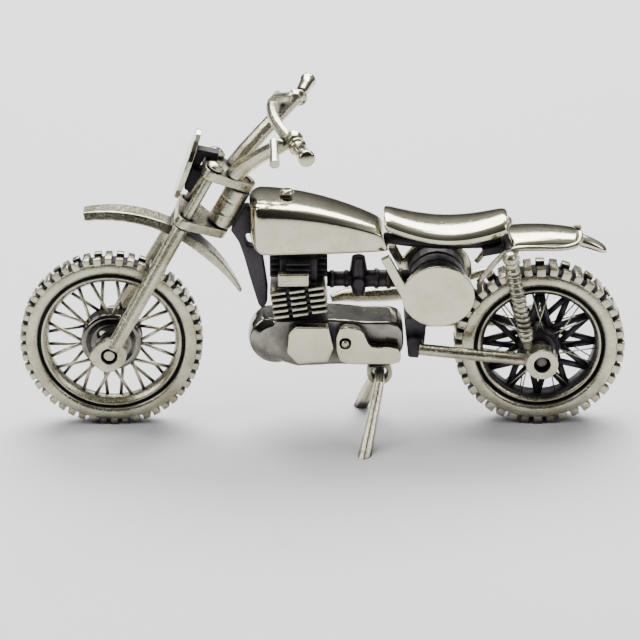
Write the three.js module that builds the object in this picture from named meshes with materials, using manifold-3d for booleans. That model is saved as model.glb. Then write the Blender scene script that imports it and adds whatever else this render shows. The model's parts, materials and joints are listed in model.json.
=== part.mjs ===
// Cast silver miniature of an off-road motorcycle, built piece by piece.
// Millimetres, +Z up. The machine faces -X, its left side is -Y, the ground is z = 0.
import * as THREE from 'three';
import { mergeVertices } from 'three/addons/utils/BufferGeometryUtils.js';
import Module from 'manifold-3d';

const wasm = await Module();
wasm.setup();

// Gaps
const castGap = 0.25; // between two fixed castings that meet
const runGap = 0.12; // radial play of a turning pin

// Wheels and stance
const wheelbase = 59.9;
const frontTyreRadius = 12.8;
const rearTyreRadius = 11.95;
const frontTyreWidth = 3.1;
const rearTyreWidth = 4.3;
const frontRimRadius = 10.2; // where the tyre sits
const rearRimRadius = 9.0;
const frontKnobCount = 50;
const rearKnobCount = 40;
const knobHeight = 0.9;
const frontSpokePairs = 16;
const rearWebCount = 12;
const axlePinRadius = 0.8;
const axleHolePlay = 0.35; // the axle pin lies loose in the hole of a boss
const frontHubHalf = 1.5;
const rearHubHalf = 2.9;

// Steering head and fork
const rake = THREE.MathUtils.degToRad(29.6);
const headX = -12.695; // middle of the head tube
const headHeight = 32.911;
const headRoomLength = 6.4; // between the two clamps
const headOffset = 4.7; // steering axis behind the fork legs
const clampThickness = 1.4;
const legSpreadTop = 2.7;
const legSpreadClamp = 3.4;
const legSpreadAxle = 5.5;
const sliderRadius = 1.08;
const stanchionRadius = 0.72;
const forkBossReach = 2.3;
const forkBossThickness = 1.3;
const headTubeRadius = 1.75;
const stemRadius = 0.8;

// Handlebar, in the fork's own frame
const barRise = 11.0; // from the upper clamp's top to the grips
const barElbowSpread = 8;
const barEndSpread = 16;
const barSetback = 6.4;
const gripSweep = 2.2;
const riserRadius = 1.1;
const crossTubeRadius = 0.82;
const gripRadius = 0.9;
const leverRadius = 0.58;

// Plate and front mudguard
const plateHeight = 10.4;
const plateWidth = 7.0;
const plateThickness = 0.75;
const frontGuardDrop = 1.4; // the mudguard's top below the lower clamp
const frontGuardWidth = 3.9;
const guardWall = 0.7;
const guardDrop = 1.25; // depth of a mudguard's side

// Tank and seat
const tankLength = 18.2;
const tankWidth = 9.4;
const tankFloor = 27.4;
const tankFrontTop = 34.2;
const tankRearTop = 30.3;
const tankRear = 8.3;
const seatLength = 17.0;
const seatWidth = 8.6;
const seatHeight = 3.6;
const seatGap = 0.3; // between tank and seat
const seatSag = 1.6;
const backboneRadius = 0.8;

// Engine
const cylinderFront = -7.2;
const finWidth = 8.0;
const finDepth = 8.0;
const finThickness = 0.5;
const headRoom = 0.9; // free height between the head and the tank
const barrelFinCount = 5;
const finPitch = 0.88;
const barrelFoot = 17.0;
const barrelLean = THREE.MathUtils.degToRad(8); // its fins rise towards the rider
const headFoot = 22.7;
const caseHalfWidth = 3.7;
const caseFloor = 9.9;
const bulbRadius = 3.9;
const carburettorRadius = 1.25;
const intakeRadius = 1.25;
const intakeHeight = 21.7;

// Rear end
const panelHalfLength = 5.05;
const panelHalfHeight = 4.55;
const panelOffset = 5.0; // outer face of a side panel
const panelThickness = 0.8;
const panelHeight = 21.05;
const airboxRadius = 4.05;
const airboxRear = 20.1; // just clear of the rear tyre
const swingarmRadius = 0.85;
const swingarmPivotHeight = 13.1;
const swingarmBossRadius = 2.25;
const swingarmBossOffset = 7.9;
const swingarmBossLength = 2.4;
const shockRadius = 1.1;
const shockTopHeight = 27.2;
const rearGuardWidth = 5.0;
const guardLength = 9.15;
const tailLength = 3.5;
const stayRadius = 0.42;
const stayOffset = 4.6;
const standWireRadius = 0.72;
const standPivotHeight = 8.4;
const standNearFoot = 11.6;
const standFarFoot = 4.2;

const silver = { color: 0xc8c3af, roughness: 0.34, metalness: 1 };
const polished = { color: 0xe2dfd2, roughness: 0.12, metalness: 1 };
const oxidised = { color: 0x2b2830, roughness: 0.5, metalness: 1 };

// The frame, engine, tank and seat hold still; the axles follow from the steering head.
const headReach = (headHeight - frontTyreRadius + headOffset * Math.sin(rake)) / Math.cos(rake);
const lowerClampHeight = headReach - headRoomLength / 2 - clampThickness; // along the fork from its axle
const upperClampHeight = headReach + headRoomLength / 2;
const frontAxleX = headX - headOffset * Math.cos(rake) - headReach * Math.sin(rake);
const rearAxleX = frontAxleX + wheelbase;
const axleHoleRadius = axlePinRadius + axleHolePlay;
const frontGuardRadius = lowerClampHeight - frontGuardDrop;
const cylinderCentre = cylinderFront + finWidth / 2;
const seatRear = tankRear + seatGap + seatLength;
const guardRear = seatRear + castGap + guardLength;
const up = new THREE.Vector3(0, 0, 1);
const beyond = 30; // a cut this long runs past everything in its way

// ---- from three.js geometry to solids and back ----

function toSolid(geometry) {
  const bare = geometry.clone();
  for (const name of Object.keys(bare.attributes)) {
    if (name !== 'position') bare.deleteAttribute(name);
  }
  const merged = mergeVertices(bare, 1e-5);
  const positions = merged.attributes.position.array;
  let corners = Array.from(merged.index.array);
  const kept = [];
  for (let i = 0; i < corners.length; i += 3) {
    const [a, b, c] = corners.slice(i, i + 3);
    if (a !== b && b !== c && c !== a) kept.push(a, b, c);
  }
  corners = signedVolume(positions, kept) < 0 ? flipped(kept) : kept;
  return new wasm.Manifold(new wasm.Mesh({
    numProp: 3,
    vertProperties: new Float32Array(positions),
    triVerts: new Uint32Array(corners),
  }));
}

function signedVolume(positions, corners) {
  const point = (i) => new THREE.Vector3().fromArray(positions, 3 * i);
  let volume = 0;
  for (let i = 0; i < corners.length; i += 3) {
    const cross = point(corners[i + 1]).cross(point(corners[i + 2]));
    volume += point(corners[i]).dot(cross) / 6;
  }
  return volume;
}

function flipped(corners) {
  const turned = [];
  for (let i = 0; i < corners.length; i += 3) turned.push(corners[i], corners[i + 2], corners[i + 1]);
  return turned;
}

function toGeometry(solid) {
  const mesh = solid.getMesh();
  const geometry = new THREE.BufferGeometry();
  geometry.setAttribute('position', new THREE.BufferAttribute(mesh.vertProperties.slice(), 3));
  geometry.setIndex(new THREE.BufferAttribute(mesh.triVerts.slice(), 1));
  return geometry;
}

function joined(...solids) {
  return wasm.Manifold.union(solids);
}

// Cuts a neighbour out of a piece that lies on its `side`, and leaves a gap between them.
function clearOf(piece, neighbour, side) {
  const moved = neighbour.translate(side.map((share) => share * castGap));
  return piece.subtract(neighbour.add(moved));
}

// ---- basic shapes ----

function vec(x, y, z) {
  return new THREE.Vector3(x, y, z);
}

// A closed skin over a list of rings that all have the same number of points.
function loft(rings) {
  const count = rings[0].length;
  const positions = [];
  for (const ring of rings) for (const p of ring) positions.push(p.x, p.y, p.z);
  const corners = [];
  for (let r = 0; r + 1 < rings.length; r += 1) {
    for (let i = 0; i < count; i += 1) {
      const next = (i + 1) % count;
      const a = r * count + i;
      const b = r * count + next;
      corners.push(a, b, a + count, b, b + count, a + count);
    }
  }
  for (const [ring, first] of [[0, true], [rings.length - 1, false]]) {
    const centre = rings[ring].reduce((sum, p) => sum.add(p), vec(0, 0, 0)).divideScalar(count);
    const hub = positions.length / 3;
    positions.push(centre.x, centre.y, centre.z);
    for (let i = 0; i < count; i += 1) {
      const a = ring * count + i;
      const b = ring * count + ((i + 1) % count);
      corners.push(...(first ? [hub, b, a] : [hub, a, b]));
    }
  }
  const geometry = new THREE.BufferGeometry();
  geometry.setAttribute('position', new THREE.Float32BufferAttribute(positions, 3));
  geometry.setIndex(corners);
  return toSolid(geometry);
}

// A round bar that follows points, with a radius at each of them.
function bar(points, radii, sides = 12, steps = points.length === 2 ? 1 : 10) {
  const curve = points.length === 2
    ? new THREE.LineCurve3(...points)
    : new THREE.CatmullRomCurve3(points, false, 'centripetal');
  const sizes = Array.isArray(radii) ? radii : [radii, radii];
  const frames = curve.computeFrenetFrames(steps, false);
  const rings = [];
  for (let i = 0; i <= steps; i += 1) {
    const along = (i / steps) * (sizes.length - 1);
    const lower = Math.min(Math.floor(along), sizes.length - 2);
    const radius = THREE.MathUtils.lerp(sizes[lower], sizes[lower + 1], along - lower);
    const centre = curve.getPointAt(i / steps);
    const ring = [];
    for (let k = 0; k < sides; k += 1) {
      const angle = (2 * Math.PI * k) / sides;
      ring.push(centre.clone()
        .addScaledVector(frames.normals[i], radius * Math.cos(angle))
        .addScaledVector(frames.binormals[i], radius * Math.sin(angle)));
    }
    rings.push(ring);
  }
  return loft(rings);
}

function ball(centre, radius, squash = 1, sides = 12) {
  const geometry = new THREE.SphereGeometry(radius, sides, Math.round(sides / 2));
  geometry.scale(1, 1, squash);
  geometry.translate(centre.x, centre.y, centre.z);
  return toSolid(geometry);
}

function box(from, to) {
  const geometry = new THREE.BoxGeometry(to.x - from.x, to.y - from.y, to.z - from.z);
  geometry.translate((from.x + to.x) / 2, (from.y + to.y) / 2, (from.z + to.z) / 2);
  return toSolid(geometry);
}

// A side-view outline, x across and z up, given a thickness from y = from to y = to.
function slab(outline, from, to, curveSegments = 10) {
  const settings = { depth: to - from, bevelEnabled: false, curveSegments };
  const geometry = new THREE.ExtrudeGeometry(outline, settings);
  geometry.rotateX(Math.PI / 2);
  geometry.translate(0, to, 0);
  return toSolid(geometry);
}

function polygon(points) {
  return new THREE.Shape(points.map(([x, z]) => new THREE.Vector2(x, z)));
}

// The outline of a straight strip between two points.
function strip([fromX, fromZ], [toX, toZ], width) {
  const share = width / (2 * Math.hypot(toX - fromX, toZ - fromZ));
  const [x, z] = [(fromZ - toZ) * share, (toX - fromX) * share];
  return polygon([[fromX - x, fromZ - z], [toX - x, toZ - z], [toX + x, toZ + z], [fromX + x, fromZ + z]]);
}

function smoothOutline(points, perSpan = 4) {
  const curve = new THREE.CatmullRomCurve3(points.map(([x, z]) => vec(x, z, 0)), true, 'centripetal');
  return new THREE.Shape(curve.getPoints(points.length * perSpan).slice(0, -1)
    .map((p) => new THREE.Vector2(p.x, p.y)));
}

// A turned piece whose axis is Y: profile points are [radius, y].
function turned(profile, sides = 32) {
  const geometry = new THREE.LatheGeometry(profile.map(([r, y]) => new THREE.Vector2(r, y)), sides);
  return toSolid(geometry);
}

// A cylinder whose axis is Y.
function cylinder(radius, from, to, sides) {
  return turned([[0, from], [radius, from], [radius, to], [0, to]], sides);
}

// A sleeve round a turning pin, its axis Y.
function sleeve(radius, [from, to]) {
  const bore = axlePinRadius + runGap;
  return turned([[bore, from], [radius, from], [radius, to], [bore, to], [bore, from]], 14);
}

// The stretch from `inner` to `outer` on one side, lowest first.
function between(side, inner, outer) {
  return side < 0 ? [-outer, -inner] : [inner, outer];
}

// The outline round three circles: two at x = 0, one behind them on the centre line.
function yokeOutline(spread, setback, lobe, boss) {
  const points = [];
  const circles = [[0, -spread, lobe], [setback, 0, boss], [0, spread, lobe]];
  for (const [x, y, radius] of circles) {
    for (let k = 0; k < 16; k += 1) {
      const angle = (2 * Math.PI * k) / 16;
      points.push([x + radius * Math.cos(angle), y + radius * Math.sin(angle)]);
    }
  }
  return hull(points);
}

function hull(points) {
  const sorted = [...points].sort((a, b) => a[0] - b[0] || a[1] - b[1]);
  const half = (list) => list.reduce((chain, p) => {
    while (chain.length > 1 && turn(chain.at(-2), chain.at(-1), p) <= 1e-9) chain.pop();
    return [...chain, p];
  }, []);
  return polygon([...half(sorted).slice(0, -1), ...half([...sorted].reverse()).slice(0, -1)]);
}

function turn(a, b, c) {
  return (b[0] - a[0]) * (c[1] - a[1]) - (b[1] - a[1]) * (c[0] - a[0]);
}

const group = new THREE.Group();
group.position.x = (frontTyreRadius - frontAxleX - rearAxleX - rearTyreRadius) / 2; // centred on its length
const forkGroup = new THREE.Group(); // z along the fork legs, x towards the rider, origin on the front axle
forkGroup.position.set(frontAxleX, 0, frontTyreRadius);
forkGroup.rotation.y = rake;
group.add(forkGroup);
const frontWheelGroup = new THREE.Group();
frontWheelGroup.position.set(frontAxleX, 0, frontTyreRadius);
group.add(frontWheelGroup);
const rearWheelGroup = new THREE.Group();
rearWheelGroup.position.set(rearAxleX, 0, rearTyreRadius);
group.add(rearWheelGroup);

function addPart(name, solid, finish, parent = group) {
  const mesh = new THREE.Mesh(toGeometry(solid), new THREE.MeshStandardMaterial(finish));
  mesh.name = name;
  parent.add(mesh);
  return solid;
}

// A solid of the fork's frame, moved to the frame of the whole machine.
function inMachineFrame(solid) {
  forkGroup.updateMatrix();
  return solid.transform(forkGroup.matrix.toArray());
}

// ---- wheels ----

// A ring with square knobs round it.
function tyre(radius, width, seat, knobCount) {
  const knobStep = (2 * Math.PI) / knobCount;
  const outline = new THREE.Shape();
  for (let k = 0; k < knobCount; k += 1) {
    const middle = -Math.PI / 2 + k * knobStep; // one knob points straight down
    for (const [share, reach] of [[-0.3, -knobHeight], [-0.25, 0], [0.25, 0], [0.3, -knobHeight]]) {
      const angle = middle + share * knobStep;
      const distance = (radius + reach) / (reach === 0 ? Math.cos(share * knobStep) : 1);
      outline[k === 0 && share === -0.3 ? 'moveTo' : 'lineTo'](
        distance * Math.cos(angle), distance * Math.sin(angle));
    }
  }
  const hole = new THREE.Path();
  hole.absarc(0, 0, seat, 0, 2 * Math.PI, true);
  outline.holes.push(hole);
  return slab(outline, -width / 2, width / 2, 18);
}

function rim(seat, half, depth) {
  const outer = seat - castGap;
  return turned([
    [outer, -half], [outer, half], [outer - depth * 0.5, half], [outer - depth, half * 0.45],
    [outer - depth, -half * 0.45], [outer - depth * 0.5, -half], [outer, -half],
  ], 36);
}

function spoke(innerRadius, outerRadius, angleIn, angleOut, yIn, yOut, thickness) {
  const at = (radius, angle, y) => vec(radius * Math.cos(angle), y, radius * Math.sin(angle));
  return bar([at(innerRadius, angleIn, yIn), at(outerRadius, angleOut, yOut)], thickness, 4);
}

function frontWheelCasting() {
  const hubHalf = frontHubHalf;
  const flange = 4.25;
  const pieces = [
    rim(frontRimRadius, frontTyreWidth * 0.42, 0.9),
    turned([
      [axlePinRadius + runGap, -hubHalf - 0.5], [2.6, -hubHalf - 0.5], [2.9, -hubHalf], [flange, -hubHalf],
      [flange, -hubHalf + 0.5], [2.6, -hubHalf + 0.9], [2.6, hubHalf - 0.9], [flange, hubHalf - 0.5],
      [flange, hubHalf], [2.9, hubHalf], [2.6, hubHalf + 0.5], [axlePinRadius + runGap, hubHalf + 0.5],
      [axlePinRadius + runGap, -hubHalf - 0.5],
    ], 20),
  ];
  const lean = Math.PI / frontSpokePairs;
  for (let k = 0; k < frontSpokePairs; k += 1) {
    const angle = (2 * Math.PI * k) / frontSpokePairs;
    const side = k % 2 === 0 ? -1 : 1;
    for (const way of [-1, 1]) {
      pieces.push(spoke(flange - 0.4, frontRimRadius - 0.9, angle, angle + way * lean * 1.5,
        side * (hubHalf - 0.25), side * 0.25, 0.24));
    }
  }
  return joined(...pieces);
}

function rearWheelCasting() {
  const hubHalf = rearHubHalf;
  const pieces = [
    rim(rearRimRadius, rearTyreWidth * 0.42, 0.9),
    turned([
      [axlePinRadius + runGap, -hubHalf], [2.2, -hubHalf], [2.4, -hubHalf + 0.6], [3.0, -1.3], [3.0, 1.3],
      [2.4, hubHalf - 0.6], [2.2, hubHalf], [axlePinRadius + runGap, hubHalf],
      [axlePinRadius + runGap, -hubHalf],
    ], 20),
  ];
  const step = (2 * Math.PI) / rearWebCount;
  for (let k = 0; k < rearWebCount; k += 1) {
    const side = k % 2 === 0 ? -1 : 1;
    for (const way of [-1, 1]) {
      pieces.push(spoke(2.7, rearRimRadius - 0.9, k * step, (k + way) * step, side * 0.9, 0, 0.32));
    }
  }
  return joined(...pieces);
}

const frontTyre = tyre(frontTyreRadius, frontTyreWidth, frontRimRadius, frontKnobCount);
const rearTyre = tyre(rearTyreRadius, rearTyreWidth, rearRimRadius, rearKnobCount);
addPart('front_tyre', frontTyre, silver, frontWheelGroup);
addPart('front_spoke_wheel', frontWheelCasting(), silver, frontWheelGroup);
addPart('rear_tyre', rearTyre, silver, rearWheelGroup);
addPart('rear_spoke_wheel', rearWheelCasting(), oxidised, rearWheelGroup);

// ---- fork ----

const clampTop = upperClampHeight + clampThickness;

// The two bars of a leg; `grow` widens them to make the hole for them in a clamp.
function forkBars(side, grow = 0) {
  const top = clampTop + castGap + 0.3;
  const at = (spread, height) => vec(0, side * spread, height);
  return joined(
    bar([at(legSpreadAxle, 1), at(legSpreadClamp, lowerClampHeight - castGap)], sliderRadius + grow, 12),
    bar([at(legSpreadClamp, lowerClampHeight - 1), at(legSpreadTop, top)], stanchionRadius + grow, 12),
  );
}

function forkLeg(side) {
  const top = clampTop + castGap;
  const knob = bar([vec(0, side * legSpreadTop, top), vec(0, side * legSpreadTop, top + 0.35),
    vec(0, side * legSpreadTop, top + 0.8)], [stanchionRadius * 1.75, stanchionRadius * 1.75, 0.5], 12, 3);
  const reach = forkBossReach;
  const outline = smoothOutline([
    [-0.4 * reach, reach], [reach * 0.75, reach * 0.8], [reach, -0.2], [reach * 0.35, -reach * 1.05],
    [-reach * 0.9, -reach * 0.75], [-reach, 0.4],
  ], 3);
  const middle = side * legSpreadAxle;
  const boss = slab(outline, middle - forkBossThickness / 2, middle + forkBossThickness / 2);
  return joined(forkBars(side), knob, boss).subtract(cylinder(axleHoleRadius, -beyond, beyond, 20));
}

function yoke(height, spread) {
  const plate = new THREE.ExtrudeGeometry(yokeOutline(spread, headOffset, 1.35, 1.7),
    { depth: clampThickness, bevelEnabled: false });
  plate.translate(0, 0, height);
  return [-1, 1].reduce((solid, side) => solid.subtract(forkBars(side, castGap)), toSolid(plate));
}

function steeringStem(grow = 0) {
  const foot = vec(headOffset, 0, lowerClampHeight + 0.2);
  const head = vec(headOffset, 0, upperClampHeight + clampThickness - 0.2 + grow);
  return bar([foot, head], stemRadius + grow, 20);
}

const lowerYoke = yoke(lowerClampHeight, legSpreadClamp).add(steeringStem());
const upperYoke = yoke(upperClampHeight, legSpreadTop).subtract(steeringStem(castGap));
addPart('fork_leg_left', forkLeg(-1), silver, forkGroup);
addPart('fork_leg_right', forkLeg(1), silver, forkGroup);
addPart('lower_clamp_and_stem', lowerYoke, silver, forkGroup);
addPart('upper_clamp', upperYoke, silver, forkGroup);

const axleReach = legSpreadAxle + forkBossThickness / 2 - 0.2;
addPart('front_axle_pin', cylinder(axlePinRadius, -axleReach, axleReach, 20), silver, forkGroup);

// Rings between the wheel and the fork bosses keep the wheel centred.
const frontCapReach = frontHubHalf + 0.5;
for (const [side, name] of [[-1, 'left'], [1, 'right']]) {
  const ends = between(side, frontCapReach + castGap, legSpreadAxle - sliderRadius - castGap);
  addPart(`front_spacer_${name}`, sleeve(1.55, ends), oxidised, forkGroup);
}

// ---- front mudguard, plate and its bracket ----

// A shallow upside-down channel, its points listed once round; the wall thins where the guard gets narrow.
function guardSection(centre, outward, halfWidth, drop) {
  const wall = Math.min(guardWall, 0.4 * halfWidth, 0.6 * drop);
  const inner = 1 - wall / halfWidth;
  const across = [-1, -0.8, 0.8, 1, inner, 0.8 * inner, -0.8 * inner, -inner];
  const depth = [-drop, 0, 0, -drop, -drop, -wall, -wall, -drop];
  return across.map((share, i) => centre.clone()
    .add(vec(0, share * halfWidth, 0)).addScaledVector(outward, depth[i]));
}

function frontGuard() {
  const rings = [];
  const reach = THREE.MathUtils.degToRad(39);
  const steps = 16;
  for (let i = 0; i <= steps; i += 1) {
    const share = i / steps;
    const angle = -reach + 2 * reach * share;
    const outward = vec(Math.sin(angle), 0, Math.cos(angle));
    const tail = 1 - 0.75 * (Math.max(0, share - 0.6) / 0.4) ** 1.5;
    const taper = Math.min(tail, 0.82 + 0.18 * Math.min(1, share * 4));
    rings.push(guardSection(outward.clone().multiplyScalar(frontGuardRadius), outward,
      (frontGuardWidth / 2) * taper, guardDrop * Math.min(1, taper + 0.1)));
  }
  return loft(rings);
}
const guardTop = frontGuardRadius - 0.3;
const guardFoot = box(vec(-0.9, -1.2, guardTop), vec(1.6, 1.2, lowerClampHeight - castGap));
addPart('front_mudguard', frontGuard().add(guardFoot), silver, forkGroup);

const plateTilt = THREE.MathUtils.degToRad(9.5);
const plateCentre = vec(-3.2, 0, upperClampHeight - 0.6);

// The oval plate, or with `grow` the room that the bracket leaves for it.
function ovalPlate(grow = 0) {
  const shape = new THREE.Shape();
  shape.absellipse(0, 0, plateHeight / 2 + grow, plateWidth / 2 + grow, 0, 2 * Math.PI);
  const depth = plateThickness + 2 * grow;
  const geometry = new THREE.ExtrudeGeometry(shape, { depth, bevelEnabled: false, curveSegments: 10 });
  geometry.translate(0, 0, -depth / 2);
  geometry.rotateY(-Math.PI / 2 - plateTilt);
  geometry.translate(...plateCentre.toArray());
  return toSolid(geometry);
}
addPart('number_plate', ovalPlate(), polished, forkGroup);

function plateBracket() {
  const raised = (points) => polygon(points.map(([x, z]) => [x, upperClampHeight + z]));
  const stub = slab(raised([[-2.9, -3.4], [-0.95, -3.8], [-0.95, -0.4], [-2.9, -0.4]]), -1.5, 0.9);
  const arm = slab(raised([[-3.0, -1.0], [-1.0, -1.0], [0.2, 1.9], [-0.2, 3.0], [-3.4, 2.0]]), -0.6, 1.2);
  const yokeRoom = box(vec(-1.35 - castGap, -5, upperClampHeight - castGap), vec(9, 5, clampTop + castGap));
  return stub.add(arm).subtract(ovalPlate(castGap)).subtract(yokeRoom);
}
addPart('plate_bracket', plateBracket(), oxidised, forkGroup);

// ---- handlebar ----

const gripHeight = clampTop + barRise;
const elbow = (side) => vec(barSetback, side * barElbowSpread, gripHeight);

function riser(side, grow = 0) {
  const foot = vec(2.7, side * 1.75, clampTop - 0.5);
  const sizes = [riserRadius * 1.15 + grow, riserRadius + grow, riserRadius + grow];
  return joined(
    bar([foot, vec(3.6, side * 3.4, clampTop + 3.4), elbow(side)], sizes, 10, 4),
    ball(elbow(side), riserRadius * 1.15 + grow, 1, 8),
  );
}
function crossTube(grow = 0) {
  const low = 0.4;
  return bar([
    elbow(-1).add(vec(-0.6, 0, -low)), vec(3.6, -4.2, gripHeight - 0.3), vec(2.9, 0, gripHeight - 0.1),
    vec(3.6, 4.2, gripHeight - 0.3), elbow(1).add(vec(-0.6, 0, -low)),
  ], crossTubeRadius + grow, 8, 10);
}
const belowClamp = box(vec(-beyond, -beyond, 0), vec(beyond, beyond, clampTop + castGap));
addPart('handlebar', joined(riser(-1), riser(1), crossTube()).subtract(belowClamp), silver, forkGroup);

function grip(side, grow = 0) {
  const start = elbow(side).add(vec(0.35, side * (riserRadius * 1.15 + castGap - grow), 0.1));
  const end = vec(barSetback + gripSweep, side * (barEndSpread - gripRadius), gripHeight + 0.4);
  const sizes = [1.12, 1, 0.98, 1, 1.1, 0.9].map((share) => share * gripRadius + grow);
  return bar([start, start.clone().lerp(end, 0.5), end], sizes, 12, 8);
}
function lever(side) {
  const root = elbow(side).add(vec(-1.0, side * 0.3, -1.2));
  const start = elbow(side).add(vec(-2.3, side * 0.4, -1.5));
  const end = start.clone().add(vec(0.9, side * 4.8, -1.2));
  const arm = joined(
    bar([root, start.clone().add(vec(-0.2, 0, -0.1))], leverRadius, 8),
    bar([start, end], [leverRadius, leverRadius, leverRadius * 1.25], 10, 2),
  );
  return arm.subtract(riser(side, castGap)).subtract(grip(side, castGap)).subtract(crossTube(castGap));
}
for (const [side, name] of [[-1, 'left'], [1, 'right']]) {
  addPart(`grip_${name}`, grip(side), polished, forkGroup);
  addPart(`lever_${name}`, lever(side), silver, forkGroup);
}

// ---- frame ----

function headTube() {
  const from = lowerClampHeight + clampThickness + castGap;
  const to = upperClampHeight - castGap;
  const bore = stemRadius + runGap;
  const band = (to - from) / 3;
  const groove = 0.12;
  const profile = [[bore, from]];
  for (let k = 0; k < 3; k += 1) {
    profile.push([headTubeRadius, from + k * band + (k ? groove : 0)]);
    profile.push([headTubeRadius, from + (k + 1) * band - (k < 2 ? groove : 0)]);
    if (k < 2) profile.push([headTubeRadius - 0.25, from + (k + 1) * band]);
  }
  profile.push([bore, to], [bore, from]);
  return turned(profile, 18).rotate([90, 0, 0]).translate([headOffset, 0, 0]);
}
addPart('head_tube', headTube(), silver, forkGroup);

// Room round the steering axis: narrow at the head tube, wide where the two clamps swing.
function steeringRoom(clampReach) {
  const along = [
    [0, frontTyreRadius], [clampReach, frontTyreRadius],
    [clampReach, lowerClampHeight + clampThickness + castGap],
    [headTubeRadius + castGap, lowerClampHeight + clampThickness + castGap],
    [headTubeRadius + castGap, upperClampHeight - castGap], [clampReach, upperClampHeight - castGap],
    [clampReach, clampTop + 5], [0, clampTop + 5],
  ];
  return inMachineFrame(turned(along, 24).rotate([90, 0, 0]).translate([headOffset, 0, 0]));
}

const webHalf = 0.95;
function downTube() {
  const web = slab(smoothOutline([
    [-13.0, 30.6], [-10.2, 33.0], [-8.7, 31.2], [-8.2, 26.0],
    [-7.6, 18.6], [-8.5, 17.7], [-9.5, 20.5], [-11.4, 27.6],
  ], 3), -webHalf, webHalf);
  const window = slab(smoothOutline([[-10.4, 28.9], [-9.4, 28.6], [-9.5, 27.0], [-10.2, 27.2]], 3), -2, 2);
  return web.subtract(window).subtract(steeringRoom(2.2));
}
const downTubeSolid = addPart('down_tube', downTube(), oxidised);

// The tube under tank and seat, or with `grow` the room for it.
function backbone(grow = 0) {
  return bar([
    vec(-8.4, 0, 31.0), vec(-3, 0, 29.9), vec(4, 0, 28.9),
    vec(10, 0, 27.6), vec(18, 0, 26.9), vec(seatRear - 0.8, 0, 27.2),
  ], backboneRadius + grow, 10, 10);
}
const backboneSolid = clearOf(backbone(), downTubeSolid, [1, 0, 0]);
addPart('backbone_tube', backboneSolid, oxidised);

// ---- tank and seat ----

function tankSection(share) {
  const x = tankRear - tankLength * (1 - share);
  const top = THREE.MathUtils.lerp(tankFrontTop, tankRearTop, Math.max(0, share - 0.12) ** 1.35);
  const nose = Math.min(1, share / 0.1 + 0.55);
  const half = (tankWidth / 2) * nose * (1 - 0.32 * share ** 2);
  const crownHalf = half * 0.74;
  const crown = top - (1 - nose) * 1.2;
  const floor = tankFloor + (share < 0.08 ? 0.9 : 0) + (share > 0.97 ? 0.3 : 0);
  const side = [
    [0, crown + 0.25], [crownHalf * 0.55, crown + 0.15], [crownHalf, crown - 0.35],
    [half * 0.95, crown - 1.3], [half, (crown + floor) / 2], [half * 0.94, floor + 0.5], [half * 0.8, floor],
  ];
  const mirrored = [...side].slice(1).reverse().map(([y, z]) => [-y, z]);
  return [...side, ...mirrored].map(([y, z]) => vec(x, y, z));
}
const tunnelHalf = webHalf + castGap;
const tunnel = slab(polygon([
  [-20, 33.3], [-8.0, 33.3], [-7.6, 32.1], [-3, 31.0], [4, 30.0], [10, 28.8], [20, 28.8],
  [20, 20], [-20, 20],
]), -tunnelHalf, tunnelHalf);
const tankRings = [0, 0.05, 0.15, 0.3, 0.45, 0.6, 0.75, 0.88, 0.97, 1].map(tankSection);
addPart('fuel_tank', loft(tankRings).subtract(tunnel).subtract(steeringRoom(2.2)), polished);

const capFoot = vec(-4.7, 0, tankFrontTop + 0.1 + castGap);
const capHeight = 0.65;
const capRadius = 1;
addPart('tank_cap', bar([0, 0.6, 1].map((share) => capFoot.clone().addScaledVector(up, capHeight * share)),
  [capRadius, capRadius, 0.6 * capRadius], 16, 2), polished);

function seatSection(share) {
  const x = seatRear - seatLength * (1 - share);
  const sag = seatSag * Math.sin(Math.PI * Math.min(1, share * 1.02));
  const rise = share > 0.9 ? -0.5 * ((share - 0.9) / 0.1) ** 2 : 0;
  const top = 32.3 - sag - 0.5 * share + rise;
  const floor = THREE.MathUtils.lerp(30.1, 29.2, share) - seatSag * 0.9 * Math.sin(Math.PI * share);
  const half = (seatWidth / 2) * (0.6 + 0.4 * Math.sin(Math.PI * Math.min(1, 0.12 + share * 0.75)));
  const drop = (top - floor) / seatHeight;
  const side = [
    [0, top], [half * 0.5, top - 0.1], [half * 0.85, top - 0.7 * drop], [half, top - 1.7 * drop],
    [half * 0.96, floor + 0.25], [half * 0.75, floor],
  ];
  const mirrored = [...side].slice(1).reverse().map(([y, z]) => [-y, z]);
  return [...side, ...mirrored].map(([y, z]) => vec(x, y, z));
}
const seatRings = [0, 0.06, 0.2, 0.35, 0.5, 0.65, 0.8, 0.92, 1].map(seatSection);
addPart('seat', loft(seatRings), polished);

// ---- engine ----

const grooveHalf = 0.35; // half the width of a gap between the barrel's columns of fins
const grooveDepth = 1.1;

// Level fins round a core, with their middle at the origin; `columns` parts their outer edges in three.
function finStack(count, core, columns) {
  const block = (x, y, z) => box(vec(-x, -y, -z), vec(x, y, z));
  const halfHeight = (finPitch * (count - 1) + finThickness) / 2;
  const solids = [block(core, core, halfHeight)];
  for (let k = 0; k < count; k += 1) {
    const level = finThickness / 2 - halfHeight + k * finPitch;
    solids.push(block(finWidth / 2, finDepth / 2, finThickness / 2).translate([0, 0, level]));
  }
  const stack = joined(...solids);
  if (!columns) return stack;
  const grooves = [];
  for (const x of [-finWidth / 6, finWidth / 6]) {
    for (const y of [-finDepth / 2, finDepth / 2]) {
      grooves.push(block(grooveHalf, grooveDepth, halfHeight + castGap).translate([x, y, 0]));
    }
  }
  return stack.subtract(joined(...grooves));
}

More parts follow.
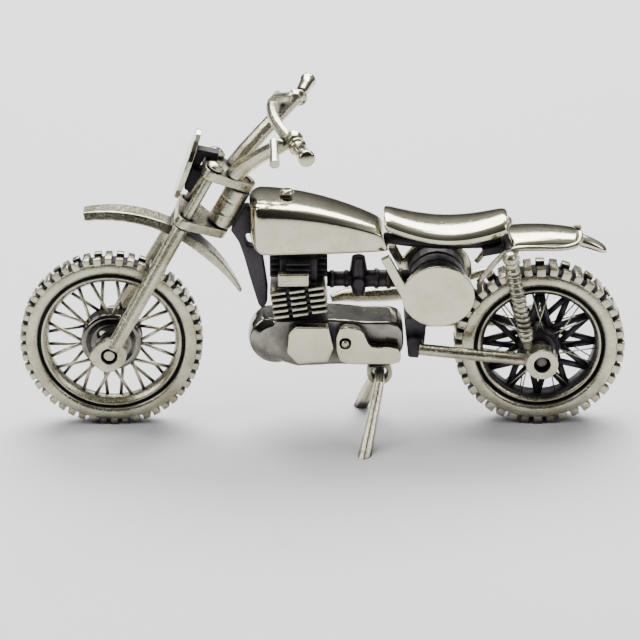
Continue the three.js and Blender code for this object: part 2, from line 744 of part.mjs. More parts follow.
const barrelHalf = (finPitch * (barrelFinCount - 1) + finThickness) / 2;
const barrelMiddle = (barrelFoot + headFoot - castGap) / 2;
const leanDegrees = -THREE.MathUtils.radToDeg(barrelLean);
const barrelRoom = box(
  vec(-beyond, -beyond, barrelFoot), vec(beyond, beyond, headFoot - castGap));
const barrelCore = box(vec(-2.4, -2.4, -barrelHalf - 1), vec(2.4, 2.4, barrelHalf + 1));
const barrel = finStack(barrelFinCount, 2.6, true).rotate([0, leanDegrees, 0]).add(barrelCore)
  .translate([cylinderCentre, 0, barrelMiddle]).intersect(barrelRoom);
addPart('cylinder_barrel', barrel, silver);

const headFinCount = 1 + Math.floor((tankFloor - headRoom - headFoot - finThickness) / finPitch);
const headHalf = (finPitch * (headFinCount - 1) + finThickness) / 2;
const plugBoss = box(vec(-2.8, -finDepth / 2 - 0.4, -headHalf), vec(1.4, 0, -headHalf + 1.3));
addPart('cylinder_head', finStack(headFinCount, 2.5, false).add(plugBoss)
  .translate([cylinderCentre, 0, headFoot + headHalf]), oxidised);

const caseTop = barrelFoot - castGap;
const caseHalf = caseHalfWidth - 0.7; // the castings' joint face, under the covers
const coverFace = caseHalf + castGap;
function crankcaseSolid() {
  const middle = slab(smoothOutline([
    [-6.5, caseTop], [1.5, caseTop], [6.0, 16.3], [10.6, 15.9], [11.3, 12.6], [9.6, caseFloor + 0.3],
    [2.0, caseFloor], [-5.5, caseFloor + 0.4],
  ], 3), -caseHalf, caseHalf);
  const bulb = turned([
    [0, -caseHalf], [bulbRadius * 0.6, -caseHalf], [bulbRadius * 0.93, -2.3], [bulbRadius, -1.1],
    [bulbRadius, 1.1], [bulbRadius * 0.93, 2.3], [bulbRadius * 0.6, caseHalf], [0, caseHalf],
  ], 24).translate([-6.5, 0, 13.5]);
  return middle.add(bulb).subtract(box(vec(-beyond, -beyond, caseTop), vec(beyond, beyond, 2 * beyond)));
}
const crankcase = addPart('crankcase', crankcaseSolid(), silver);

addPart('clutch_cover', slab(polygon([
  [-4.6, 15.6], [-3.6, 16.6], [0.9, 16.5], [1.6, 13.2], [0.8, 11.2], [-3.4, 10.9], [-4.9, 12.6],
]), -5.0, -coverFace), polished);
const rivetCentre = [3.2, 13.9];
const gearCover = slab(smoothOutline([
  [2.4, 16.1], [5.4, 15.9], [6.1, 14.6], [6.8, 13.4], [10.5, 13.1], [10.8, 11.0], [6.0, 10.7], [2.5, 11.2],
], 3), -4.7, -coverFace);
const rivetPlace = [rivetCentre[0], 0, rivetCentre[1]];
const rivetRadius = 0.55;
const rivetRecess = cylinder(rivetRadius + castGap, -beyond, -coverFace, 16).translate(rivetPlace);
addPart('gear_cover', gearCover.subtract(rivetRecess), polished);
addPart('cover_rivet', turned([
  [0, -5.1], [rivetRadius * 0.55, -5.1], [rivetRadius, -4.9], [rivetRadius, -coverFace], [0, -coverFace],
], 12).translate(rivetPlace), silver);
addPart('right_case_cover', turned([
  [0, coverFace], [3.1, coverFace], [3.1, 4.3], [2.6, 4.7], [0, 4.7],
], 24).translate([-1.6, 0, 13.6]), silver);

// carburettor, intake and air filter
const carburettorX = 5.1;
const carburettor = joined(
  bar([-2.3, -1.4, 2.2, 3.4].map((rise) => vec(carburettorX, 0, intakeHeight + rise)),
    [carburettorRadius * 0.7, carburettorRadius, carburettorRadius, carburettorRadius * 0.75], 12, 3),
  bar([-1.9, 1.9].map((y) => vec(carburettorX, y, intakeHeight)), [0.8, 0.8], 10),
);
addPart('carburettor', carburettor, oxidised);
const besideCarburettor = carburettorRadius + castGap;
addPart('intake_tube', bar([
  vec(cylinderCentre + finWidth / 2 + 2 * castGap, 0, intakeHeight),
  vec(carburettorX - besideCarburettor, 0, intakeHeight),
], intakeRadius, 12), oxidised);

const panelCentre = vec(airboxRear - airboxRadius, 0, panelHeight);
const airboxFloor = panelCentre.z - airboxRadius - castGap;
const airboxHalf = panelOffset - panelThickness - castGap;
function airboxProfile() {
  const profile = [[0, -airboxHalf], [airboxRadius, -airboxHalf]];
  const ribs = 3;
  const pitch = (2 * airboxHalf) / ribs;
  for (let k = 1; k < ribs; k += 1) {
    const y = -airboxHalf + k * pitch;
    profile.push([airboxRadius, y - 0.35], [airboxRadius - 0.45, y - 0.2]);
    profile.push([airboxRadius - 0.45, y + 0.2], [airboxRadius, y + 0.35]);
  }
  profile.push([airboxRadius, airboxHalf], [0, airboxHalf]);
  return profile;
}
addPart('air_filter', turned(airboxProfile(), 20).translate(panelCentre.toArray()), oxidised);
addPart('air_boot', bar([
  vec(carburettorX + besideCarburettor, 0, intakeHeight),
  vec(panelCentre.x - airboxRadius - castGap, 0, intakeHeight),
], [intakeRadius, intakeRadius * 1.15], 12), oxidised);

function sidePanel(side) {
  const oval = new THREE.Shape();
  oval.absellipse(panelCentre.x, panelCentre.z, panelHalfLength, panelHalfHeight, 0, 2 * Math.PI);
  const strap = strip([tankRear + 0.4, tankFloor - 0.5], [panelCentre.x - 4.2, panelHeight - 0.4], 1.3);
  const ends = between(side, panelOffset - panelThickness, panelOffset);
  return joined(slab(oval, ...ends, 12), slab(strap, ...ends));
}
addPart('side_panel_left', sidePanel(-1), polished);
addPart('side_panel_right', sidePanel(1), polished);

// expansion chamber along the right side
addPart('exhaust_chamber', bar([
  vec(1.2, 6.2, 15.9), vec(3.0, 6.4, 16.3), vec(6.0, 6.5, 16.5), vec(10.0, 6.6, 16.7),
  vec(14.0, 6.7, 17.3), vec(19.0, 6.7, 18.6), vec(24.0, 6.4, 20.2),
], [0.6, 1.2, 1.35, 1.35, 1.2, 0.8, 0.6], 10, 12), silver);

// ---- rear end ----

const pivotPoint = vec(12.9, 0, swingarmPivotHeight);
const pivotHalf = 3.6;
const pivotRadius = 1.15;
addPart('swingarm_pivot', joined(
  bar([pivotPoint.clone().setY(-pivotHalf), pivotPoint.clone().setY(pivotHalf)], pivotRadius, 16),
  slab(polygon([
    [12.0, 10.6], [13.4, 10.4], [14.3, 12.8],
    [14.6, airboxFloor - 0.3], [11.4, airboxFloor - 0.1], [11.75, 13.0],
  ]), -2.2, 2.2),
), oxidised);

const rearAxlePoint = vec(rearAxleX, 0, rearTyreRadius);
function swingarm(side) {
  const ends = between(side, swingarmBossOffset - swingarmBossLength, swingarmBossOffset);
  const ring = cylinder(swingarmBossRadius, ...ends, 24).translate(rearAxlePoint.toArray());
  const hole = cylinder(axleHoleRadius, -beyond, beyond, 20).translate(rearAxlePoint.toArray());
  const armY = swingarmBossOffset - swingarmBossLength / 2 - 0.2;
  const arm = bar([
    pivotPoint.clone().add(vec(0.6, side * (pivotHalf + castGap + swingarmRadius), -0.1)),
    pivotPoint.clone().lerp(rearAxlePoint, 0.41).add(vec(0, side * 5.6, 0)),
    rearAxlePoint.clone().add(vec(-swingarmBossRadius * 0.6, side * armY, 0.1)),
  ], swingarmRadius, 12, 6);
  return joined(arm, ring).subtract(hole);
}
addPart('swingarm_left', swingarm(-1), silver);
addPart('swingarm_right', swingarm(1), silver);

const rearPinReach = swingarmBossOffset - 0.9;
addPart('rear_axle_pin', cylinder(axlePinRadius, -rearPinReach, rearPinReach, 20), silver, rearWheelGroup);
for (const [side, name] of [[-1, 'left'], [1, 'right']]) {
  const ends = between(side, rearHubHalf + castGap, swingarmBossOffset - swingarmBossLength - castGap);
  addPart(`rear_spacer_${name}`, sleeve(1.6, ends), oxidised, rearWheelGroup);
}

const eyeRadius = shockRadius * 1.15;
const shockTop = vec(seatRear + 0.3, stayOffset + stayRadius + castGap + eyeRadius, shockTopHeight);
const shockFoot = vec(rearAxleX - 1.975, 6.9, rearTyreRadius + swingarmBossRadius);
const bridgeHalf = 3.9;
const springTurns = 7;
function shock(side) {
  const mirror = vec(1, side, 1);
  const at = (share) => shockTop.clone().lerp(shockFoot, share).multiply(mirror);
  const thin = shockRadius * 0.78;
  const coils = [];
  for (let k = 0; k < springTurns; k += 1) coils.push(thin, shockRadius, shockRadius, thin);
  const spring = bar([at(0.16), at(0.5), at(0.8)], [...coils, shockRadius * 1.1, shockRadius * 1.1], 10,
    4 * springTurns + 1);
  return joined(
    bar([at(0), at(1)], shockRadius * 0.5, 8),
    ball(at(0), eyeRadius, 1, 10),
    bar([at(0), at(0).setY(side * (bridgeHalf + castGap))], 0.5, 8),
    spring,
  );
}
addPart('shock_left', shock(-1), silver);
addPart('shock_right', shock(1), silver);

const bridgeRadius = 0.75;
function bridgeBar(grow = 0) {
  const end = bridgeHalf + grow;
  return bar([vec(shockTop.x, -end, shockTop.z), vec(shockTop.x, end, shockTop.z)], bridgeRadius + grow, 12);
}
const bridgeWeb = slab(polygon([
  [shockTop.x - 3.7, shockTop.z - 1.6], [shockTop.x + 0.5, shockTop.z - 0.8],
  [shockTop.x + 0.5, shockTop.z + 0.2], [shockTop.x - 3.7, shockTop.z - 0.4],
]), -1.8, 1.8);
addPart('rear_bridge', joined(bridgeBar(), bridgeWeb).subtract(backbone(castGap)), oxidised);

function rearGuard() {
  const spine = new THREE.CatmullRomCurve3([
    vec(seatRear + castGap, 0, 28.9), vec(seatRear + 3.4, 0, 29.5),
    vec(guardRear - 1.6, 0, 29.1), vec(guardRear, 0, 28.2),
  ], false, 'centripetal');
  const rings = [];
  for (let i = 0; i <= 8; i += 1) {
    const share = i / 8;
    const tangent = spine.getTangentAt(share);
    const outward = vec(-tangent.z, 0, tangent.x);
    const half = (rearGuardWidth / 2) * (1 - 0.25 * share);
    rings.push(guardSection(spine.getPointAt(share), outward, half, guardDrop));
  }
  return loft(rings).subtract(bridgeBar(castGap));
}
addPart('rear_mudguard', rearGuard(), silver);

const tailFront = guardRear + castGap + 0.45;
addPart('tail_flap', bar([
  vec(tailFront, 0, 27.7), vec(tailFront + tailLength * 0.27, 0, 27.3),
  vec(tailFront + tailLength * 0.69, 0, 26.3), vec(tailFront + tailLength, 0, 25.1),
], [0.9, 1.15, 1.25, 0.95, 0.5], 12, 8), polished);

const stayFoot = panelOffset - panelThickness - castGap - stayRadius; // inside the side panels
for (const [side, name] of [[-1, 'left'], [1, 'right']]) {
  addPart(`fender_stay_${name}`, bar([
    vec(seatRear - 4, side * stayFoot, 22.6),
    vec(seatRear - 2.2, side * stayFoot, 25.4),
    vec(seatRear + 0.4, side * stayOffset, 28.6), vec(seatRear + 3.9, side * (stayOffset - 0.4), 28.5),
    vec(guardRear - 1.8, side * 3.9, 27.9), vec(guardRear - 0.1, side * 3.1, 28.3),
    vec(guardRear - 0.7, side * 2.5, 28.9),
  ], stayRadius, 6, 12), silver);
}

// ---- stand ----

const pivot = vec(8.0, -2.0, standPivotHeight);
const lugHalf = 0.85;
const lugHoleRadius = standWireRadius + 0.35;
function standLug() {
  const ring = cylinder(lugHoleRadius + 0.75, pivot.y - lugHalf, pivot.y + lugHalf, 18);
  const hole = cylinder(lugHoleRadius, -beyond, beyond, 18);
  const neck = slab(polygon([
    [pivot.x - 1.6, pivot.z + 0.4], [pivot.x + 1.6, pivot.z + 0.4],
    [pivot.x + 1.3, caseFloor + 1.2], [pivot.x - 1.4, caseFloor + 1.2],
  ]), pivot.y - lugHalf, pivot.y + lugHalf);
  const place = [pivot.x, 0, pivot.z];
  return clearOf(neck.add(ring.translate(place)), crankcase, [0, 0, -1]).subtract(hole.translate(place));
}
addPart('stand_lug', standLug(), silver);

function stand() {
  const near = vec(pivot.x - 2.2, -standNearFoot, 0);
  const nearKnee = vec(pivot.x - 1.1, -8.2, 4.0);
  const far = vec(pivot.x - 2.6, standFarFoot, 0);
  const farKnee = vec(pivot.x - 1.4, 2.2, 3.8);
  const past = 1.3; // the wire runs on below the ground before its soles are cut flat
  const wire = bar([
    nearKnee.clone().lerp(near, past), nearKnee, vec(pivot.x - 0.1, pivot.y - 3.0, pivot.z - 0.8),
    pivot.clone().add(vec(0, -2.2, -0.05)), pivot, pivot.clone().add(vec(0, 1.4, -0.05)),
    vec(pivot.x - 0.1, pivot.y + 2.2, pivot.z - 0.8), farKnee, farKnee.clone().lerp(far, past),
  ], [1.46, 1.32, 1.18, 1.04, 1, 1.04, 1.25, 1.53, 1.32].map((share) => share * standWireRadius), 8, 16);
  return wire.subtract(box(vec(-beyond, -beyond, -beyond), vec(beyond, beyond, 0)));
}
addPart('centre_stand', stand(), silver);

export default group;
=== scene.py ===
import json
import math
import bmesh
import bpy
from mathutils import Matrix, Vector


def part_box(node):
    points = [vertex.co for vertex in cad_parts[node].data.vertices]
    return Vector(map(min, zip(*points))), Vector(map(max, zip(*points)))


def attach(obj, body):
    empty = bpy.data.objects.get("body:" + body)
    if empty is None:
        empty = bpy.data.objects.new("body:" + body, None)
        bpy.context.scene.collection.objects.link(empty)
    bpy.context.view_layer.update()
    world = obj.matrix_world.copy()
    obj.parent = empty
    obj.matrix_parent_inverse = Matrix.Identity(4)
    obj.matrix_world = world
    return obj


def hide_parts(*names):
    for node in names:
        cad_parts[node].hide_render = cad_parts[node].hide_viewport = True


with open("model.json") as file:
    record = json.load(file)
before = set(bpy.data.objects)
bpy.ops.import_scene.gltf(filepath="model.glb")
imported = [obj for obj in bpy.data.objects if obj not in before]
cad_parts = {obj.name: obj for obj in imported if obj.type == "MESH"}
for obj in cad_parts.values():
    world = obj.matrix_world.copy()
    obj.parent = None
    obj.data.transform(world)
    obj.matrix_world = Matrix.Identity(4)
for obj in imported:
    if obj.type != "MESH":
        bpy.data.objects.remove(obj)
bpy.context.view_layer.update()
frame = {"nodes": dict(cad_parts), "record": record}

scene = bpy.context.scene
mm = 0.001
bodyOf = {node: body for body, nodes in frame["record"]["behaviour"]["bodies"].items() for node in nodes}
slotOf = {part["node"]: part["material_slot"] for part in frame["record"]["subparts"]}


def middleOf(node):
    low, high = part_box(node)
    return (low + high) / 2


def sizeOf(node):
    low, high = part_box(node)
    return high - low


frontAxle = middleOf("front_tyre")
rearAxle = middleOf("rear_tyre")

# camera and light
studio = {  # target and distance in millimetres, angles in degrees
    "target": (-0.3, 0.0, 15.4), "distance": 420.0, "azimuth": 0.3, "elevation": 24.5, "roll": 0.46,
    "lens": 168.75, "floor": (0.665, 0.672, 0.685), "floorReach": 3.0, "sky": 0.66,
    "frontShade": 0.22, "shadeEdges": (-0.75, 0.25), "horizon": (0.10, 0.10, 0.11),
    "skyStops": ((0.22, 0.16), (0.45, 0.62), (0.62, 0.85)), "skyBlue": 1.02,
}
softboxes = {  # place, power, width and depth, in metres and watts
    "backSoftbox": ((0.02, 0.34, 0.46), 7.5, 0.60, 0.30),
    "topSoftbox": ((-0.04, 0.06, 0.40), 1.5, 0.26, 0.16),
    "leftSoftbox": ((-0.36, -0.16, 0.26), 0.7, 0.10, 0.26),
    "rightSoftbox": ((0.38, -0.16, 0.24), 0.5, 0.08, 0.22),
}
lampAim = (0, 0, 0.02)


def placeCamera():
    camera = bpy.data.objects.new("camera", bpy.data.cameras.new("camera"))
    scene.collection.objects.link(camera)
    azimuth = math.radians(studio["azimuth"])
    elevation = math.radians(studio["elevation"])
    level = math.cos(elevation)
    outward = Vector((math.sin(azimuth) * level, -math.cos(azimuth) * level, math.sin(elevation)))
    camera.location = (Vector(studio["target"]) + outward * studio["distance"]) * mm
    turn = outward.to_track_quat("Z", "Y").to_matrix().to_4x4()
    roll = Matrix.Rotation(math.radians(-studio["roll"]), 4, "Z")
    camera.matrix_world = Matrix.Translation(camera.location) @ turn @ roll
    camera.data.lens = studio["lens"]
    camera.data.sensor_width = 36
    camera.data.clip_start = 0.01
    scene.camera = camera


def areaLight(name, place, power, width, depth):
    light = bpy.data.lights.new(name, "AREA")
    light.shape = "RECTANGLE"
    light.size = width
    light.size_y = depth
    light.energy = power
    lamp = bpy.data.objects.new(name, light)
    scene.collection.objects.link(lamp)
    lamp.location = place
    aim = Vector(lampAim) - Vector(place)
    lamp.rotation_euler = aim.to_track_quat("-Z", "Y").to_euler()


placeCamera()
for name, settings in softboxes.items():
    areaLight(name, *settings)
print("camera and lights placed")


# materials
class Link:  # a shader socket that takes part in sums
    def __init__(self, graph, socket):
        self.graph = graph
        self.socket = socket

    def maths(self, operation, *others):
        values = dict(enumerate((self, *others)))
        return self.graph.add("ShaderNodeMath", {"operation": operation}, values)

    def __add__(self, other):
        return self.maths("ADD", other)

    __radd__ = __add__

    def __mul__(self, other):
        return self.maths("MULTIPLY", other)

    __rmul__ = __mul__

    def __sub__(self, other):
        return self.maths("SUBTRACT", other)

    def __rsub__(self, other):
        return self.graph.add("ShaderNodeMath", {"operation": "SUBTRACT"}, {0: other, 1: self})

    def between(self, low, high):  # 0 below low, 1 above high
        values = {0: self, 1: low, 2: high}
        return self.graph.add("ShaderNodeMapRange", {"interpolation_type": "SMOOTHSTEP"}, values)


class Graph:
    def __init__(self, name):
        self.material = bpy.data.materials.new(name)
        self.material.use_nodes = True
        self.tree = self.material.node_tree
        self.tree.nodes.clear()

    def add(self, kind, settings=None, values=None, output=0):
        node = self.tree.nodes.new(kind)
        for key, value in (settings or {}).items():
            setattr(node, key, value)
        for key, value in (values or {}).items():
            socket = node.inputs[key]
            if isinstance(value, Link):
                self.tree.links.new(value.socket, socket)
            else:
                socket.default_value = value
        return Link(self, node.outputs[output]) if len(node.outputs) else None

    def mix(self, share, first, second):
        values = {0: share, 6: first, 7: second}
        return self.add("ShaderNodeMix", {"data_type": "RGBA"}, values, 2)

    def noise(self, place, scale, detail=3.0, roughness=0.55):
        values = {"Vector": place, "Scale": scale, "Detail": detail, "Roughness": roughness}
        return self.add("ShaderNodeTexNoise", None, values, "Fac")


def colour(red, green, blue):
    return (red, green, blue, 1.0)


texture = {"clouds": 260.0, "grain": 2600.0, "pits": 1500.0, "scratches": 1100.0, "bumpDepth": 0.06}


def castSilver(name, look):  # silver that is darkest in its recesses (painted shade from ambient occlusion, mixed with patina), with clouds, pits and fine scratches
    graph = Graph(name)
    place = graph.add("ShaderNodeTexCoord", output="Object")
    reach = {"Distance": look["recessReach"] * mm}
    opening = graph.add("ShaderNodeAmbientOcclusion", {"samples": 8}, reach, "AO")
    clouds = graph.noise(place, texture["clouds"], 4.0)
    grain = graph.noise(place, texture["grain"], 4.0, 0.65)
    cells = {"Vector": place, "Scale": texture["pits"]}
    pits = graph.add("ShaderNodeTexVoronoi", {"feature": "F1"}, cells, "Distance")
    stretched = graph.add("ShaderNodeMapping", None, {"Vector": place, "Scale": (1.0, 1.0, 9.0)})
    scratches = graph.noise(stretched, texture["scratches"], 2.0, 0.7)
    # painted shade: the ambient occlusion mask darkens the recesses towards near black, also standing for
    # the patina silver keeps in its hollows
    recess = (1.0 - (opening + (clouds - 0.5) * 0.35).between(*look["recessEdge"])) * look["recessDepth"]
    holes = (1.0 - pits.between(0.10, 0.26)) * grain.between(0.50, 0.64) * look["pitting"]
    tarnish = clouds.between(0.42, 0.72) * look["tarnish"]
    beforeShadeAndPatina = graph.mix(tarnish, colour(*look["bright"]), colour(*look["warm"]))
    # the colour with the painted recess shade and patina mixed in
    withShadeAndPatina = graph.mix(recess, beforeShadeAndPatina, colour(*look["dark"]))
    base = graph.mix(holes * 0.75, withShadeAndPatina, colour(*look["dark"]))
    rough = look["roughness"] + (grain - 0.5) * 0.25 + recess * 0.25 + (scratches - 0.5) * 0.12
    height = grain * look["grain"] + scratches * 0.35 - holes * 0.9
    relief = {"Strength": look["bump"], "Distance": texture["bumpDepth"] * mm, "Height": height}
    bump = graph.add("ShaderNodeBump", None, relief)
    shader = graph.add("ShaderNodeBsdfPrincipled", None, {
        "Base Color": base, "Roughness": rough, "Metallic": 1.0 - recess * 0.45, "Normal": bump})
    graph.add("ShaderNodeOutputMaterial", None, {"Surface": shader})
    return graph.material


# dark is the colour of the painted recess shade and patina, and of the pits
satinLook = {
    "bright": (0.54, 0.515, 0.385), "warm": (0.31, 0.275, 0.18), "dark": (0.018, 0.015, 0.021),
    "recessReach": 2.4, "recessEdge": (0.50, 0.97), "recessDepth": 0.97, "pitting": 0.85,
    "tarnish": 0.8, "roughness": 0.24, "grain": 0.9, "bump": 0.75,
}
polishedLook = {
    **satinLook, "bright": (0.585, 0.56, 0.415), "warm": (0.43, 0.385, 0.255), "recessReach": 1.2,
    "recessEdge": (0.30, 0.80), "pitting": 0.45, "tarnish": 0.55, "roughness": 0.12, "grain": 0.35,
    "bump": 0.30,
}
darkLook = {
    **satinLook, "bright": (0.060, 0.055, 0.060), "warm": (0.035, 0.031, 0.034),
    "dark": (0.008, 0.007, 0.010), "recessEdge": (0.45, 0.95), "pitting": 0.8, "roughness": 0.42,
    "bump": 0.8,
}
agedLook = {
    **satinLook, "bright": (0.27, 0.255, 0.215), "warm": (0.10, 0.09, 0.08), "recessEdge": (0.40, 0.97),
    "tarnish": 0.9, "roughness": 0.11, "grain": 0.4, "bump": 0.20,
}
aged = castSilver("agedSilver", agedLook)
finishes = {
    "silver": castSilver("satinSilver", satinLook),
    "polished_silver": castSilver("polishedSilver", polishedLook),
    "oxidised_silver": castSilver("oxidisedSilver", darkLook),
}
print("silver finishes made")


# shared helpers
def newPiece(name, mesh):
    piece = bpy.data.objects.new(name, mesh)
    scene.collection.objects.link(piece)
    return piece


def smoothShaded(mesh):
    for face in mesh.polygons:
        face.use_smooth = True
    return mesh


def baked(piece):  # the modifiers' result as a plain mesh on the same object
    graph = bpy.context.evaluated_depsgraph_get()
    mesh = bpy.data.meshes.new_from_object(piece.evaluated_get(graph))
    piece.modifiers.clear()
    piece.data = mesh
    return piece


def standsFor(piece, *nodes, finish=None):
    node = nodes[0]
    piece.data.materials.clear()
    piece.data.materials.append(finish or finishes[slotOf[node]])
    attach(piece, bodyOf[node])
    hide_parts(*nodes)


def softened(node, grid, passes, finish=None):  # a cast copy of a node, its edges rounded
    mesh = frame["nodes"][node].data.copy()
    shape = bmesh.new()
    shape.from_mesh(mesh)
    bmesh.ops.remove_doubles(shape, verts=shape.verts, dist=0.002 * mm)
    shape.to_mesh(mesh)
    shape.free()
    piece = newPiece(node + "_cast", mesh)
    remesh = piece.modifiers.new("remesh", "REMESH")
    remesh.mode = "VOXEL"
    remesh.voxel_size = grid * mm
    smooth = piece.modifiers.new("smooth", "SMOOTH")
    smooth.factor = 0.5
    smooth.iterations = passes
    baked(piece)
    smoothShaded(piece.data)
    standsFor(piece, node, finish=finish)
    return piece


# softened castings
castings = {  # node: grid in millimetres, smoothing passes
    "head_tube": (0.12, 3), "down_tube": (0.14, 6), "backbone_tube": (0.14, 8), "tank_cap": (0.10, 8),
    "crankcase": (0.14, 22), "clutch_cover": (0.11, 18), "gear_cover": (0.10, 9), "cover_rivet": (0.06, 4),
    "right_case_cover": (0.12, 5), "carburettor": (0.10, 6), "air_filter": (0.12, 4),
    "side_panel_left": (0.09, 4), "side_panel_right": (0.09, 4), "exhaust_chamber": (0.12, 10),
    "swingarm_pivot": (0.12, 6), "swingarm_left": (0.10, 6), "swingarm_right": (0.10, 6),
    "rear_bridge": (0.10, 6), "stand_lug": (0.09, 5), "fork_leg_left": (0.09, 6),
    "fork_leg_right": (0.09, 6), "lower_clamp_and_stem": (0.12, 5), "upper_clamp": (0.10, 5),
    "front_mudguard": (0.10, 6), "number_plate": (0.08, 4), "plate_bracket": (0.10, 5),
    "handlebar": (0.09, 6), "lever_left": (0.07, 6), "lever_right": (0.07, 6),
    "centre_stand": (0.09, 8), "front_axle_pin": (0.08, 4), "rear_axle_pin": (0.08, 4),
    "front_spacer_left": (0.10, 3), "front_spacer_right": (0.10, 3), "rear_spacer_left": (0.10, 3),
    "rear_spacer_right": (0.10, 3),
}
agedNodes = {"crankcase", "right_case_cover"}
for node, (grid, passes) in castings.items():
    softened(node, grid, passes, aged if node in agedNodes else None)
print("castings softened:", len(castings))


# repeated shapes: one node tree copies the mesh it sits on
def repeatTree():
    tree = bpy.data.node_groups.new("repeatPiece", "GeometryNodeTree")
    face = tree.interface
    face.new_socket("Geometry", in_out="INPUT", socket_type="NodeSocketGeometry")
    face.new_socket("Count", in_out="INPUT", socket_type="NodeSocketInt")
    face.new_socket("Turn", in_out="INPUT", socket_type="NodeSocketFloat")
    face.new_socket("Step", in_out="INPUT", socket_type="NodeSocketVector")
    face.new_socket("Finish", in_out="INPUT", socket_type="NodeSocketMaterial")
    face.new_socket("Geometry", in_out="OUTPUT", socket_type="NodeSocketGeometry")
    make = tree.nodes.new
    join = tree.links.new
    given = make("NodeGroupInput")
    points = make("GeometryNodePoints")
    index = make("GeometryNodeInputIndex")
    angle = make("ShaderNodeMath")
    angle.operation = "MULTIPLY"
    axis = make("ShaderNodeCombineXYZ")
    turn = make("FunctionNodeEulerToRotation")
    shift = make("ShaderNodeVectorMath")
    shift.operation = "SCALE"
    moved = make("GeometryNodeSetPosition")
    copies = make("GeometryNodeInstanceOnPoints")
    real = make("GeometryNodeRealizeInstances")
    finish = make("GeometryNodeSetMaterial")
    result = make("NodeGroupOutput")
    join(given.outputs["Count"], points.inputs["Count"])
    join(index.outputs[0], angle.inputs[0])
    join(given.outputs["Turn"], angle.inputs[1])
    join(angle.outputs[0], axis.inputs["Y"])
    join(axis.outputs[0], turn.inputs[0])
    join(given.outputs["Step"], shift.inputs[0])
    join(index.outputs[0], shift.inputs["Scale"])
    join(points.outputs[0], moved.inputs["Geometry"])
    join(shift.outputs[0], moved.inputs["Position"])
    join(moved.outputs[0], copies.inputs["Points"])
    join(given.outputs["Geometry"], copies.inputs["Instance"])
    join(turn.outputs[0], copies.inputs["Rotation"])
    join(copies.outputs[0], real.inputs["Geometry"])
    join(real.outputs[0], finish.inputs["Geometry"])
    join(given.outputs["Finish"], finish.inputs["Material"])
    join(finish.outputs[0], result.inputs[0])
    return tree


def coilTree():
    tree = bpy.data.node_groups.new("coilSpring", "GeometryNodeTree")
    face = tree.interface
    for name in ("Turns", "Coil Radius", "Length", "Wire Radius"):
        face.new_socket(name, in_out="INPUT", socket_type="NodeSocketFloat")
    face.new_socket("Finish", in_out="INPUT", socket_type="NodeSocketMaterial")
    face.new_socket("Geometry", in_out="OUTPUT", socket_type="NodeSocketGeometry")
    make = tree.nodes.new
    join = tree.links.new
    given = make("NodeGroupInput")
    spiral = make("GeometryNodeCurveSpiral")
    spiral.inputs["Resolution"].default_value = 24
    wire = make("GeometryNodeCurvePrimitiveCircle")
    wire.inputs["Resolution"].default_value = 8
    tube = make("GeometryNodeCurveToMesh")
    tube.inputs["Fill Caps"].default_value = True
    real = make("GeometryNodeRealizeInstances")
    finish = make("GeometryNodeSetMaterial")
    result = make("NodeGroupOutput")
    join(given.outputs["Turns"], spiral.inputs["Rotations"])
    join(given.outputs["Coil Radius"], spiral.inputs["Start Radius"])
    join(given.outputs["Coil Radius"], spiral.inputs["End Radius"])
    join(given.outputs["Length"], spiral.inputs["Height"])
    join(given.outputs["Wire Radius"], wire.inputs["Radius"])
    join(spiral.outputs[0], tube.inputs["Curve"])
    join(wire.outputs[0], tube.inputs["Profile Curve"])
    join(tube.outputs[0], real.inputs["Geometry"])
    join(real.outputs[0], finish.inputs["Geometry"])
    join(given.outputs["Finish"], finish.inputs["Material"])
    join(finish.outputs[0], result.inputs[0])
    return tree


repeatNodes = repeatTree()
coilNodes = coilTree()


def grown(piece, tree, values):  # the tree's result as the piece's own mesh
    modifier = piece.modifiers.new("grow", "NODES")
    modifier.node_group = tree
    for socket in tree.interface.items_tree:
        if socket.in_out == "INPUT" and socket.name in values:
            modifier[socket.identifier] = values[socket.name]
    baked(piece)
    smoothShaded(piece.data)
    return piece


def grownRound(piece, count, turn, finish):  # copies turned about the wheel's axle
    return grown(piece, repeatNodes, {"Count": count, "Turn": turn, "Step": (0, 0, 0), "Finish": finish})


# mesh makers, in millimetres round the origin
def meshOf(name, shape):
    mesh = bpy.data.meshes.new(name)
    bmesh.ops.recalc_face_normals(shape, faces=shape.faces)
    shape.to_mesh(mesh)
    shape.free()
    return mesh


def roundedBlock(shape, size, place=(0, 0, 0), rounding=0.12, segments=2):
    stretch = Matrix.Diagonal((*[edge * mm for edge in size], 1))
    made = bmesh.ops.create_cube(shape, size=1, matrix=Matrix.Translation(Vector(place) * mm) @ stretch)
    edges = {edge for vert in made["verts"] for edge in vert.link_edges}
    bmesh.ops.bevel(shape, geom=list(edges), offset=rounding * mm, segments=segments,
                    affect="EDGES", profile=0.6)


def rod(shape, start, end, radius, tip=None, sides=10):
    start = Vector(start) * mm
    end = Vector(end) * mm
    along = end - start
    turn = along.to_track_quat("Z", "Y").to_matrix().to_4x4()
    bmesh.ops.create_cone(shape, cap_ends=True, segments=sides, radius1=radius * mm,
                          radius2=(tip or radius) * mm, depth=along.length,
                          matrix=Matrix.Translation((start + end) / 2) @ turn)


def turnedRing(shape, profile, sides=96):  # [radius, y] points of a closed outline, turned about Y
    rings = []
    for k in range(sides):
        angle = 2 * math.pi * k / sides
        across = math.cos(angle)
        up = math.sin(angle)
        rings.append([shape.verts.new((r * across * mm, y * mm, r * up * mm)) for r, y in profile])
    for k in range(sides):
        here = rings[k]
        there = rings[(k + 1) % sides]
        for i in range(len(profile)):
            j = (i + 1) % len(profile)
            shape.faces.new((here[i], here[j], there[j], there[i]))


def joinedPiece(name, parts):  # several meshes as one piece
    shape = bmesh.new()
    for part in parts:
        shape.from_mesh(part)
    return newPiece(name, meshOf(name, shape))


def movedTo(piece, place):
    piece.data.transform(Matrix.Translation(place))
    return piece


